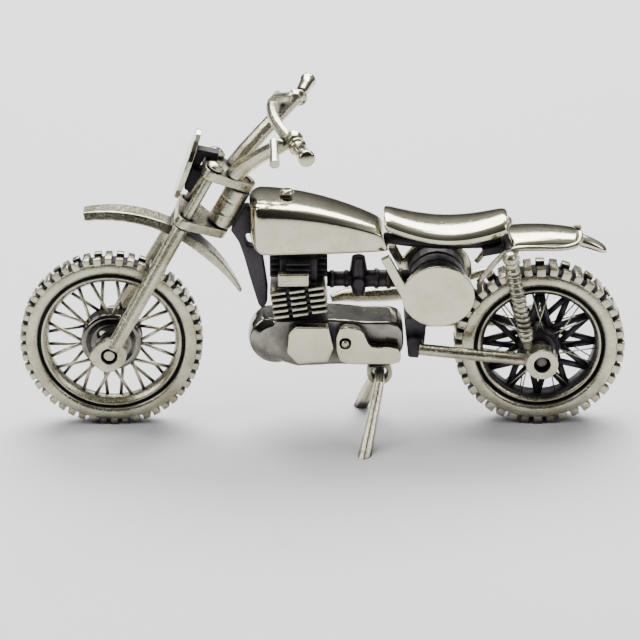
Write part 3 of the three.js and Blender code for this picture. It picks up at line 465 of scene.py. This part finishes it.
# wheels
frontWheel = {
    "radius": sizeOf("front_tyre").x / 2 / mm, "width": sizeOf("front_tyre").y / mm, "seat": 10.2,
    "knobs": 25, "knobHeight": 0.8, "hub": 4.25, "hubHalf": 1.5, "pin": 0.92, "rimDepth": 0.95,
    "spokeStations": 16, "spokeRadius": 0.25, "spokeSlant": 0.75,
}
rearWheel = {
    "radius": sizeOf("rear_tyre").x / 2 / mm, "width": sizeOf("rear_tyre").y / mm, "seat": 9.0,
    "knobs": 20, "knobHeight": 1.0, "hub": 3.0, "hubHalf": 2.9, "pin": 0.92, "rimDepth": 0.56,
    "webStations": 12, "webRadius": 0.46, "wires": 7, "wireRadius": 0.10, "wireSlant": 0.42,
}
knob = {  # lengths as shares of the pitch, widths as shares of the half width
    "blockLength": 0.33, "blockWidth": 0.62, "edgeLength": 0.25, "edgeWidth": 0.34,
    "middleLength": 0.31, "middleWidth": 1.86, "root": 0.35,
}


def tyrePiece(name, wheel, centre, finish):
    half = wheel["width"] / 2
    crown = wheel["radius"] - wheel["knobHeight"]
    seat = wheel["seat"]
    shape = bmesh.new()
    turnedRing(shape, [
        (seat + 0.10, -half * 0.78), (seat + 0.30, -half * 0.95), (seat + 0.7, -half),
        (crown - 0.18, -half), (crown - 0.04, -half * 0.94), (crown - 0.04, -half * 0.84),
        (crown - 0.40, -half * 0.82), (crown - 0.40, half * 0.82), (crown - 0.04, half * 0.84),
        (crown - 0.04, half * 0.94), (crown - 0.18, half), (seat + 0.7, half),
        (seat + 0.30, half * 0.95), (seat + 0.10, half * 0.78), (seat + 0.15, 0),
    ], 128)
    carcass = meshOf(name + "_carcass", shape)
    shape = bmesh.new()  # the dark band between the knobs and the dark strip under the bead
    turnedRing(shape, [
        (crown - 0.42, -half * 0.85), (crown - 0.03, -half * 0.83), (crown + 0.05, -half * 0.5),
        (crown + 0.08, 0), (crown + 0.05, half * 0.5), (crown - 0.03, half * 0.83),
        (crown - 0.42, half * 0.85),
    ], 128)
    turnedRing(shape, [
        (seat - 0.55, -half * 0.60), (seat + 0.20, -half * 0.60), (seat + 0.20, half * 0.60),
        (seat - 0.55, half * 0.60),
    ], 128)
    well = newPiece(name + "_well", smoothShaded(meshOf(name + "_well", shape)))
    movedTo(well, centre)
    standsFor(well, name, finish=finishes["oxidised_silver"])
    pitch = 2 * math.pi * wheel["radius"] / wheel["knobs"]
    turn = 2 * math.pi / wheel["knobs"]
    rise = wheel["knobHeight"] + knob["root"]
    level = crown - knob["root"] + rise / 2
    shoulder = half * knob["blockWidth"]
    block = (pitch * knob["blockLength"], shoulder, rise)
    edge = (pitch * knob["edgeLength"], half * knob["edgeWidth"], rise * 0.9)
    shape = bmesh.new()
    for side in (-1, 1):  # a pair of shoulder blocks, then a wide middle block half a step on
        roundedBlock(shape, block, (0, side * (half - shoulder / 2), level - rise * 0.02), 0.13)
        roundedBlock(shape, edge, (0, side * half * 0.80, level - rise * 0.14), 0.10)
    middle = bmesh.new()
    wide = (pitch * knob["middleLength"], half * knob["middleWidth"], rise)
    roundedBlock(middle, wide, (0, 0, level - rise * 0.02), 0.14)
    middleMesh = meshOf("middle", middle)
    middleMesh.transform(Matrix.Rotation(turn / 2, 4, "Y"))
    shape.from_mesh(middleMesh)
    knobMesh = meshOf(name + "_knob", shape)
    knobMesh.transform(Matrix.Rotation(math.pi, 4, "Y"))
    knobs = newPiece(name + "_knobs", knobMesh)
    grownRound(knobs, wheel["knobs"], turn, finish)
    whole = joinedPiece(name + "_cast", [carcass, knobs.data])
    bpy.data.objects.remove(knobs)
    smoothShaded(whole.data)
    movedTo(whole, centre)
    standsFor(whole, name)


def spoke(shape, angles, depths, radii, thickness):  # a straight rod between two rings
    ends = [(radius * math.cos(angle), depth, radius * math.sin(angle))
            for radius, angle, depth in zip(radii, angles, depths)]
    rod(shape, *ends, thickness, sides=8)


def rimProfile(wheel, depth):
    outer = wheel["seat"] - 0.34
    half = wheel["width"] * 0.42
    inner = outer - depth
    return [
        (outer, -half), (outer + 0.02, -half * 0.4), (outer + 0.02, half * 0.4), (outer, half),
        (outer - 0.28, half + 0.02), (outer - 0.40, half * 0.86), (outer - 0.52, half * 0.80),
        (inner, half * 0.42), (inner - 0.05, 0), (inner, -half * 0.42), (outer - 0.52, -half * 0.80),
        (outer - 0.40, -half * 0.86), (outer - 0.28, -half - 0.02),
    ]


def frontCasting():
    wheel = frontWheel
    hub = wheel["hub"]
    half = wheel["hubHalf"]
    shape = bmesh.new()
    side = [
        (wheel["pin"], half + 0.5), (1.6, half + 0.5), (2.0, half + 0.38), (2.2, half - 0.15),
        (3.1, half - 0.28), (3.3, half + 0.08), (3.75, half + 0.12), (hub - 0.1, half - 0.05),
        (hub, half - 0.2), (hub, half - 0.6), (2.9, half - 0.9),
    ]
    turnedRing(shape, side + [(r, -y) for r, y in reversed(side)], 72)
    drum = newPiece("front_hub_drum", smoothShaded(meshOf("front_hub_drum", shape)))
    movedTo(drum, frontAxle)
    standsFor(drum, "front_spoke_wheel", finish=aged)
    shape = bmesh.new()
    turnedRing(shape, rimProfile(wheel, wheel["rimDepth"]))
    base = meshOf("front_rim", shape)
    shape = bmesh.new()
    step = 2 * math.pi / wheel["spokeStations"]
    for k, near in ((0, -1), (1, 1)):
        for way in (-wheel["spokeSlant"], wheel["spokeSlant"]):
            spoke(shape, (k * step, (k + way) * step), (near * 1.2, near * 0.3),
                  (hub - 0.5, wheel["seat"] - 0.9), wheel["spokeRadius"])
    spokes = newPiece("front_spokes", meshOf("front_spokes", shape))
    count = wheel["spokeStations"] // 2
    grownRound(spokes, count, 2 * step, finishes["silver"])
    whole = joinedPiece("front_spoke_wheel_cast", [base, spokes.data])
    bpy.data.objects.remove(spokes)
    smoothShaded(whole.data)
    movedTo(whole, frontAxle)
    standsFor(whole, "front_spoke_wheel")


def rearCasting():
    wheel = rearWheel
    hub = wheel["hub"]
    half = wheel["hubHalf"]
    shape = bmesh.new()
    side = [(wheel["pin"], half), (2.0, half), (2.3, half - 0.3), (2.3, half - 0.7), (2.6, half - 0.9),
            (hub, 1.4), (hub, 0.8), (hub - 0.15, 0.6), (hub - 0.15, 0.2), (hub, 0.1)]
    turnedRing(shape, side + [(r, -y) for r, y in reversed(side)], 72)
    turnedRing(shape, [(wheel["seat"] - 1.15, -1.25), (wheel["seat"] - 0.75, -1.4),
                       (wheel["seat"] - 0.75, 1.4), (wheel["seat"] - 1.15, 1.25)])
    base = meshOf("rear_hub", shape)
    shape = bmesh.new()
    step = 2 * math.pi / wheel["webStations"]
    for k, near in ((0, -1), (1, 1)):
        for way in (-1, 1):
            spoke(shape, (k * step, (k + way) * step), (near * 0.9, 0), (2.6, wheel["seat"] - 0.7),
                  wheel["webRadius"])
    webs = newPiece("rear_webs", meshOf("rear_webs", shape))
    count = wheel["webStations"] // 2
    grownRound(webs, count, 2 * step, finishes["oxidised_silver"])
    whole = joinedPiece("rear_spoke_wheel_cast", [base, webs.data])
    bpy.data.objects.remove(webs)
    smoothShaded(whole.data)
    movedTo(whole, rearAxle)
    standsFor(whole, "rear_spoke_wheel")
    shape = bmesh.new()
    turnedRing(shape, rimProfile(wheel, wheel["rimDepth"]))
    rim = newPiece("rear_rim", smoothShaded(meshOf("rear_rim", shape)))
    movedTo(rim, rearAxle)
    standsFor(rim, "rear_spoke_wheel", finish=finishes["silver"])
    shape = bmesh.new()
    gap = 2 * math.pi / wheel["wires"]
    for near in (-1, 1):
        for way, start in ((-wheel["wireSlant"], 0), (wheel["wireSlant"], 0.5)):
            spoke(shape, (start * gap, (start + way) * gap), (near * 2.1, near * 1.0),
                  (2.35, wheel["seat"] - 0.75), wheel["wireRadius"])
    wires = newPiece("rear_wire_spokes", meshOf("rear_wires", shape))
    grownRound(wires, wheel["wires"], gap, finishes["silver"])
    movedTo(wires, rearAxle)
    standsFor(wires, "rear_spoke_wheel", finish=finishes["silver"])


tyrePiece("front_tyre", frontWheel, frontAxle, finishes["silver"])
tyrePiece("rear_tyre", rearWheel, rearAxle, finishes["silver"])
frontCasting()
rearCasting()
print("wheels made")


# cylinder: plates repeated up a core
cylinder = {
    "fins": 5, "pitch": 0.88, "plate": 0.50, "width": 8.0, "depth": 8.0, "lean": math.radians(8),
    "barrelCore": 5.6, "headCore": 5.2, "headCorner": 2.3, "headEdge": 0.13, "boss": (4.3, 1.4, 1.9),
}


def riseOf(edge):
    return abs(edge.verts[0].co.z - edge.verts[1].co.z)


def finPlate(columns, width, depth, thickness):  # three columns for the barrel, one plate for the head
    shape = bmesh.new()
    if not columns:
        stretch = Matrix.Diagonal((width * mm, depth * mm, thickness * mm, 1))
        bmesh.ops.create_cube(shape, size=1, matrix=stretch)
        upright = [edge for edge in shape.edges if riseOf(edge) > thickness * mm / 2]
        bmesh.ops.bevel(shape, geom=upright, offset=cylinder["headCorner"] * mm, segments=7, affect="EDGES")
        rims = [edge for edge in shape.edges if riseOf(edge) < thickness * mm / 2]
        bmesh.ops.bevel(shape, geom=rims, offset=cylinder["headEdge"] * mm, segments=2, affect="EDGES")
        return meshOf("fin", shape)
    third = width / 3
    for k in (-1, 0, 1):
        reach = depth if k == 0 else depth - 0.3
        roundedBlock(shape, (third - 0.5, reach, thickness), (k * third, 0, 0), 0.14)
    roundedBlock(shape, (width - 0.6, depth - 2.0, thickness * 0.9), rounding=0.1)
    return meshOf("fin", shape)


def finStack(name, count, columns, middle, lean, core, finish):
    pitch = cylinder["pitch"]
    plate = finPlate(columns, cylinder["width"], cylinder["depth"], cylinder["plate"])
    plates = newPiece(name + "_plates", plate)
    grown(plates, repeatNodes, {"Count": count, "Turn": 0.0, "Step": (0, 0, pitch * mm), "Finish": finish})
    plates.data.transform(Matrix.Translation((0, 0, -pitch * (count - 1) / 2 * mm)))
    shape = bmesh.new()
    roundedBlock(shape, (core, core, pitch * count - 0.1), rounding=0.3)
    whole = joinedPiece(name + "_cast", [plates.data, meshOf("core", shape)])
    bpy.data.objects.remove(plates)
    whole.data.transform(Matrix.Translation(middle) @ Matrix.Rotation(-lean, 4, "Y"))
    smoothShaded(whole.data)
    standsFor(whole, name, finish=finish)


def makeCylinder():
    barrelMiddle = middleOf("cylinder_barrel")
    finStack("cylinder_barrel", cylinder["fins"], True, barrelMiddle, cylinder["lean"],
             cylinder["barrelCore"], finishes["silver"])
    low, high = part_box("cylinder_head")
    pitch = cylinder["pitch"] * mm
    count = 1 + round((high.z - low.z - cylinder["plate"] * mm) / pitch)
    middle = Vector((barrelMiddle.x, 0, (low.z + high.z) / 2))
    finStack("cylinder_head", count, False, middle, 0, cylinder["headCore"], finishes["oxidised_silver"])
    shape = bmesh.new()
    roundedBlock(shape, cylinder["boss"], (0, 0, 0), 0.30, 4)
    boss = newPiece("plug_boss", smoothShaded(meshOf("plug_boss", shape)))
    movedTo(boss, Vector((barrelMiddle.x - 0.7 * mm, low.y + 0.55 * mm, low.z + 0.7 * mm)))
    standsFor(boss, "cylinder_head", finish=finishes["silver"])


makeCylinder()
print("cylinder made")


# shock absorbers
shock = {
    "coil": 0.86, "wire": 0.20, "turns": 11.0, "coilStart": 0.15, "coilShare": 0.66,
    "eye": 1.05, "eyeInset": 1.55, "footInset": 0.95, "footBack": 0.55, "footRise": 0.2,
    "pinLength": 2.0, "pinRadius": 0.5,
    "damper": (  # start, end, radius and end radius, the first two as shares of the length
        (0.0, 1.0, 0.72, 0.62), (0.12, 0.84, 0.84, 0.84), (0.1, 0.16, 0.9, 1.05),
        (0.8, 0.86, 1.1, 1.0), (0.86, 0.93, 1.0, 0.75), (0.0, 0.12, 0.75, 0.9),
    ),
}


def shockPiece(side, name):
    low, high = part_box(name)
    outer = high.y if side > 0 else low.y
    top = Vector((low.x + shock["eye"] * mm, outer - side * shock["eyeInset"] * mm,
                  high.z - shock["eye"] * mm))
    foot = Vector((high.x - shock["footBack"] * mm, outer - side * shock["footInset"] * mm,
                   low.z + shock["footRise"] * mm))
    along = foot - top
    turn = along.to_track_quat("Z", "Y").to_matrix().to_4x4()
    spring = newPiece("spring", bpy.data.meshes.new("spring"))
    grown(spring, coilNodes, {
        "Turns": shock["turns"], "Coil Radius": shock["coil"] * mm, "Wire Radius": shock["wire"] * mm,
        "Length": along.length * shock["coilShare"], "Finish": finishes["silver"]})
    spring.data.transform(Matrix.Translation(top + along * shock["coilStart"]) @ turn)
    shape = bmesh.new()
    for start, end, radius, tip in shock["damper"]:
        rod(shape, (top + along * start) / mm, (top + along * end) / mm, radius, tip, 24)
    bmesh.ops.create_uvsphere(shape, u_segments=24, v_segments=16, radius=shock["eye"] * mm,
                              matrix=Matrix.Translation(top))
    inward = Vector((0, side * shock["pinLength"] * mm, 0))
    rod(shape, top / mm, (top - inward) / mm, shock["pinRadius"], None, 16)
    whole = joinedPiece(name + "_cast", [spring.data, meshOf("damper", shape)])
    bpy.data.objects.remove(spring)
    smoothShaded(whole.data)
    standsFor(whole, name)


shockPiece(-1, "shock_left")
shockPiece(1, "shock_right")
print("shock absorbers made")


# tank, saddle and inlet
tank = {
    "width": 9.4, "floor": 27.0, "crownFront": 34.35, "fall": 4.3, "shoulder": 1.5, "slant": 1.0,
    "taper": 0.32, "noseShare": 0.60, "noseRise": 4.0, "tailRise": 1.5, "stations": 12,
}
saddle = {"width": 8.6, "top": 32.3, "floor": 30.1, "sag": 1.6, "stations": 14}


def subdividedLoft(name, rings, levels=3):  # rings of control points, in millimetres
    shape = bmesh.new()
    layers = [[shape.verts.new(Vector(point) * mm) for point in ring] for ring in rings]
    count = len(rings[0])
    for here, there in zip(layers, layers[1:]):
        for i in range(count):
            j = (i + 1) % count
            shape.faces.new((here[i], here[j], there[j], there[i]))
    half = count // 2
    for layer in (layers[0], layers[-1]):
        for i in range(half):
            j = (count - 1 - i) % count
            corners = [layer[i % count], layer[i + 1], layer[j - 1], layer[j]] if i + 1 < half else None
            if corners and len(set(corners)) == 4:
                shape.faces.new(corners)
    piece = newPiece(name, meshOf(name, shape))
    smooth = piece.modifiers.new("smooth", "SUBSURF")
    smooth.levels = levels
    smooth.render_levels = levels
    baked(piece)
    smoothShaded(piece.data)
    return piece


def mirroredRing(x, side):  # side points from the top centre line down to the floor
    left = [(x, -y, z) for y, z in side]
    right = [(x, y, z) for y, z in reversed(side)]
    return left + right


def makeTank():  # an arched top with a crease along each side and a slanted rear
    low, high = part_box("fuel_tank")
    front = low.x / mm
    length = (high.x - low.x) / mm
    stations = [0, 0.02, 0.06]
    stations += [0.06 + 0.91 * k / tank["stations"] for k in range(1, tank["stations"])]
    stations += [0.97, 0.99, 1]
    rings = []
    for share in stations:
        arch = tank["crownFront"] - tank["fall"] * share ** 2
        nose = min(1, tank["noseShare"] + share / 0.12)
        tail = 1 if share < 0.97 else 1 - (share - 0.97) * 3.5
        half = tank["width"] / 2 * nose * tail * (1 - tank["taper"] * share ** 2)
        crown = arch - (1 - nose) * 1.0 - (1 - tail) * 2.0
        chin = max(0, 0.12 - share) ** 2 * 70
        floor = tank["floor"] + (1 - nose) * tank["noseRise"] + chin + (1 - tail) * tank["tailRise"]
        shoulder = tank["shoulder"] * (1.05 - share)  # height of the curved band below the crease
        side = [
            (half * 0.12, crown + 0.22), (half * 0.55, crown + 0.14), (half * 0.80, crown - 0.10),
            (half * 0.88, crown - 0.35), (half * 0.90, crown - 0.47),
            (half * 0.955, crown - 0.5 - shoulder * 0.55), (half, crown - 0.6 - shoulder),
            (half, floor + 1.0), (half * 0.99, floor + 0.35), (half * 0.92, floor),
            (half * 0.75, floor - 0.05), (half * 0.2, floor),
        ]
        ring = mirroredRing(front + length * share, side)
        slant = tank["slant"] * share ** 3
        rings.append([(x + slant * (crown - z) / (crown - floor), y, z) for x, y, z in ring])
    standsFor(subdividedLoft("fuel_tank_cast", rings), "fuel_tank")


def makeSaddle():  # a pad that sags in the middle and is drawn in at both ends
    low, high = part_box("seat")
    front = low.x / mm
    length = (high.x - low.x) / mm
    count = saddle["stations"]
    stations = [0, 0.015] + [0.04 + 0.92 * k / count for k in range(count + 1)] + [0.985, 1]
    rings = []
    for share in stations:
        sag = saddle["sag"] * math.sin(math.pi * min(1, share * 1.02))
        end = 1 - 0.10 * max(0, 0.04 - share) / 0.04 - 0.10 * max(0, share - 0.96) / 0.04
        top = saddle["top"] - sag - 0.5 * share - (1 - end) * 3
        hollow = saddle["sag"] * 0.9 * math.sin(math.pi * share)
        floor = saddle["floor"] - 0.9 * share - hollow + (1 - end) * 3
        half = saddle["width"] / 2 * end * (0.6 + 0.4 * math.sin(math.pi * min(1, 0.12 + share * 0.75)))
        deep = top - floor
        side = [
            (half * 0.12, top), (half * 0.45, top - 0.04 * deep), (half * 0.78, top - 0.18 * deep),
            (half * 0.93, top - 0.38 * deep), (half * 0.99, top - 0.56 * deep),
            (half * 1.0, top - 0.62 * deep), (half * 0.985, top - 0.86 * deep),
            (half * 0.93, floor + 0.03), (half * 0.7, floor), (half * 0.2, floor),
        ]
        rings.append(mirroredRing(front + length * share, side))
    standsFor(subdividedLoft("seat_cast", rings), "seat")


rearEnd = {
    "crown": 28.95, "halfWidth": 3.75, "guardTaper": 0.22, "guardStations": 9, "rail": 0.40,
    "railFoot": 3.53, "railEdge": 1.15, "tailRise": 1.05, "tailHalf": 1.35, "tailHeight": 27.75,
    "tailInset": 1.3,
}


def makeRearGuard():
    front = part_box("seat")[1].x / mm + 0.15
    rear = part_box("rear_mudguard")[1].x / mm + 0.5
    rings = []
    for k in range(rearEnd["guardStations"]):
        share = k / (rearEnd["guardStations"] - 1)
        half = rearEnd["halfWidth"] * (1 - rearEnd["guardTaper"] * share ** 2)
        crown = rearEnd["crown"] + 0.25 * math.sin(math.pi * share) - 0.25 * share ** 3
        side = [
            (half * 0.1, crown), (half * 0.5, crown - 0.10), (half * 0.84, crown - 0.42),
            (half, crown - 0.95), (half * 0.98, crown - 1.20), (half * 0.85, crown - 1.15),
            (half * 0.5, crown - 0.85), (half * 0.1, crown - 0.78),
        ]
        rings.append(mirroredRing(front + (rear - front) * share, side))
    guard = subdividedLoft("rear_mudguard_cast", rings)
    standsFor(guard, "rear_mudguard", finish=finishes["polished_silver"])


def makeRail(side, name):  # a wire from beside the saddle along the mudguard, hooked over its end
    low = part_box(name)[0]
    foot = Vector((low.x / mm + 0.35, rearEnd["railFoot"], low.z / mm + 0.2))
    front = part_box("seat")[1].x / mm
    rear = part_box("rear_mudguard")[1].x / mm
    half = rearEnd["halfWidth"]
    edge = rearEnd["crown"] - rearEnd["railEdge"]
    route = [
        foot, (foot.x + 1.8, 3.55, 25.2), (front + 0.2, half - 0.05, edge - 0.15),
        (front + 3.4, half, edge), (rear - 2.4, half * 0.88, edge - 0.35),
        (rear + 0.1, half * 0.80, edge - 0.05), (rear + 0.75, half * 0.58, edge + 0.65),
        (rear + 0.6, half * 0.22, edge + 1.05),
    ]
    curve = bpy.data.curves.new(name, "CURVE")
    curve.dimensions = "3D"
    curve.bevel_depth = rearEnd["rail"] * mm
    curve.bevel_resolution = 4
    curve.use_fill_caps = True
    curve.resolution_u = 10
    spline = curve.splines.new("NURBS")
    spline.points.add(len(route) - 1)
    spline.use_endpoint_u = True
    spline.order_u = 3
    for point, (x, y, z) in zip(spline.points, route):
        point.co = (x * mm, side * y * mm, z * mm, 1)
    rail = newPiece(name + "_cast", curve)
    graph = bpy.context.evaluated_depsgraph_get()
    mesh = bpy.data.meshes.new_from_object(rail.evaluated_get(graph))
    bpy.data.objects.remove(rail)
    shape = bmesh.new()
    shape.from_mesh(mesh)
    bmesh.ops.remove_doubles(shape, verts=shape.verts, dist=0.001 * mm)
    standsFor(newPiece(name + "_cast", smoothShaded(meshOf(name, shape))), name)


gripShape = {"radius": 0.98, "collar": 1.22, "end": 1.14, "sides": 40}


def makeGrip(side, name):  # turned: a collar, a narrow neck, and a body that swells to a rounded end
    low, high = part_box(name)
    low /= mm
    high /= mm
    radius = gripShape["radius"]
    inner, outer = (high.y, low.y) if side < 0 else (low.y, high.y)
    start = Vector((low.x + radius, inner - side * 0.05, low.z + radius))
    end = Vector((high.x - radius - 0.1, outer, high.z - radius))
    turn = (end - start).to_track_quat("Z", "Y")
    collar = gripShape["collar"]
    tip = gripShape["end"]
    stations = [  # share of the length, radius
        (0.0, collar - 0.12), (0.02, collar), (0.07, collar), (0.09, collar - 0.12),
        (0.10, radius * 0.84), (0.30, radius * 0.88), (0.60, radius), (0.82, radius * 0.97),
        (0.86, tip - 0.08), (0.89, tip), (0.95, tip), (0.985, tip - 0.10), (1.0, tip - 0.30),
    ]
    shape = bmesh.new()
    rings = []
    for share, size in stations:
        ring = []
        for k in range(gripShape["sides"]):
            angle = 2 * math.pi * k / gripShape["sides"]
            offset = turn @ Vector((size * math.cos(angle), size * math.sin(angle), 0))
            ring.append(shape.verts.new((start.lerp(end, share) + offset) * mm))
        rings.append(ring)
    for here, there in zip(rings, rings[1:]):
        for k in range(len(here)):
            j = (k + 1) % len(here)
            shape.faces.new((here[k], here[j], there[j], there[k]))
    shape.faces.new(rings[0][::-1])
    shape.faces.new(rings[-1])
    standsFor(newPiece(name + "_cast", smoothShaded(meshOf(name, shape))), name)


def makeTail():
    low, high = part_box("tail_flap")
    front = low.x / mm - rearEnd["tailInset"]
    length = high.x / mm - front
    rings = []
    for share in (0, 0.04, 0.15, 0.35, 0.55, 0.75, 0.9, 0.97, 1):
        middle = rearEnd["tailHeight"] - 0.9 * share - 1.15 * share ** 2
        swell = math.sqrt(max(0.06, 1 - (2 * share - 1) ** 6))
        rise = rearEnd["tailRise"] * swell * (1 - 0.30 * share)
        half = rearEnd["tailHalf"] * swell * (1 - 0.25 * share)
        side = [
            (half * 0.15, middle + rise), (half * 0.62, middle + rise * 0.82),
            (half * 0.95, middle + rise * 0.3), (half * 0.98, middle - rise * 0.3),
            (half * 0.62, middle - rise * 0.85), (half * 0.15, middle - rise),
        ]
        rings.append(mirroredRing(front + length * share, side))
    standsFor(subdividedLoft("tail_flap_cast", rings), "tail_flap")


inlet = {"core": 0.86, "flangeHalf": 0.28, "intakeFlanges": (0.16, 0.62), "bootFlanges": (0.36, 0.60, 0.84)}


def makeInlet():  # two tubes with flanges, from the cylinder to the filter
    carburettor = middleOf("carburettor")
    for node, start, end, flanges in (
            ("intake_tube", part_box("intake_tube")[0].x - 0.6 * mm, carburettor.x, inlet["intakeFlanges"]),
            ("air_boot", carburettor.x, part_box("air_boot")[1].x + 0.3 * mm, inlet["bootFlanges"])):
        height = middleOf(node).z
        first = Vector((start, 0, height)) / mm
        last = Vector((end, 0, height)) / mm
        radius = sizeOf(node).y / 2 / mm
        shape = bmesh.new()
        rod(shape, first, last, radius * inlet["core"], None, 40)
        halfFlange = Vector((inlet["flangeHalf"], 0, 0))
        for share in flanges:
            at = first.lerp(last, share)
            rod(shape, at - halfFlange, at + halfFlange, radius, None, 40)
        standsFor(newPiece(node + "_cast", smoothShaded(meshOf(node, shape))), node)


makeTank()
makeSaddle()
makeInlet()
makeRearGuard()
makeRail(-1, "fender_stay_left")
makeRail(1, "fender_stay_right")
makeTail()
makeGrip(-1, "grip_left")
makeGrip(1, "grip_right")
print("tank, saddle, inlet and rear end made")


# floor and background
def layFloor():
    mesh = bpy.data.meshes.new("floor")
    reach = studio["floorReach"]
    corners = [(-reach, -reach, 0), (reach, -reach, 0), (reach, reach, 0), (-reach, reach, 0)]
    mesh.from_pydata(corners, [], [(0, 1, 2, 3)])
    floor = newPiece("floor", mesh)
    graph = Graph("paleFloor")
    place = graph.add("ShaderNodeTexCoord", output="Object")
    fibre = graph.noise(place, 900.0, 2.0)
    bump = graph.add("ShaderNodeBump", None, {"Strength": 0.05, "Distance": 0.05 * mm, "Height": fibre})
    shader = graph.add("ShaderNodeBsdfPrincipled", None, {
        "Base Color": colour(*studio["floor"]), "Roughness": 0.85, "Normal": bump})
    graph.add("ShaderNodeOutputMaterial", None, {"Surface": shader})
    mesh.materials.append(graph.material)


def lightSky():  # brightest overhead, and darker on the viewer's side
    world = bpy.data.worlds.new("studioSky")
    world.use_nodes = True
    tree = world.node_tree
    direction = tree.nodes.new("ShaderNodeTexCoord")
    split = tree.nodes.new("ShaderNodeSeparateXYZ")
    ramp = tree.nodes.new("ShaderNodeValToRGB")
    tree.links.new(direction.outputs["Generated"], split.inputs[0])
    tree.links.new(split.outputs["Z"], ramp.inputs["Fac"])
    front = tree.nodes.new("ShaderNodeMapRange")
    front.interpolation_type = "SMOOTHSTEP"
    front.inputs["From Min"].default_value = studio["shadeEdges"][0]
    front.inputs["From Max"].default_value = studio["shadeEdges"][1]
    front.inputs["To Min"].default_value = studio["frontShade"]
    front.inputs["To Max"].default_value = 1.0
    tree.links.new(split.outputs["Y"], front.inputs["Value"])
    shade = tree.nodes.new("ShaderNodeMix")
    shade.data_type = "RGBA"
    shade.blend_type = "MULTIPLY"
    shade.inputs[0].default_value = 1.0
    tree.links.new(ramp.outputs["Color"], shade.inputs[6])
    tree.links.new(front.outputs[0], shade.inputs[7])
    tree.links.new(shade.outputs[2], tree.nodes["Background"].inputs["Color"])
    stops = ramp.color_ramp.elements
    stops[0].color = colour(*studio["horizon"])
    stops[1].color = colour(1.0, 1.0, 1.0)
    for height, grey in studio["skyStops"]:
        stops.new(height).color = colour(grey, grey, grey * studio["skyBlue"])
    tree.nodes["Background"].inputs["Strength"].default_value = studio["sky"]
    scene.world = world


layFloor()
lightSky()
print("floor and sky made")
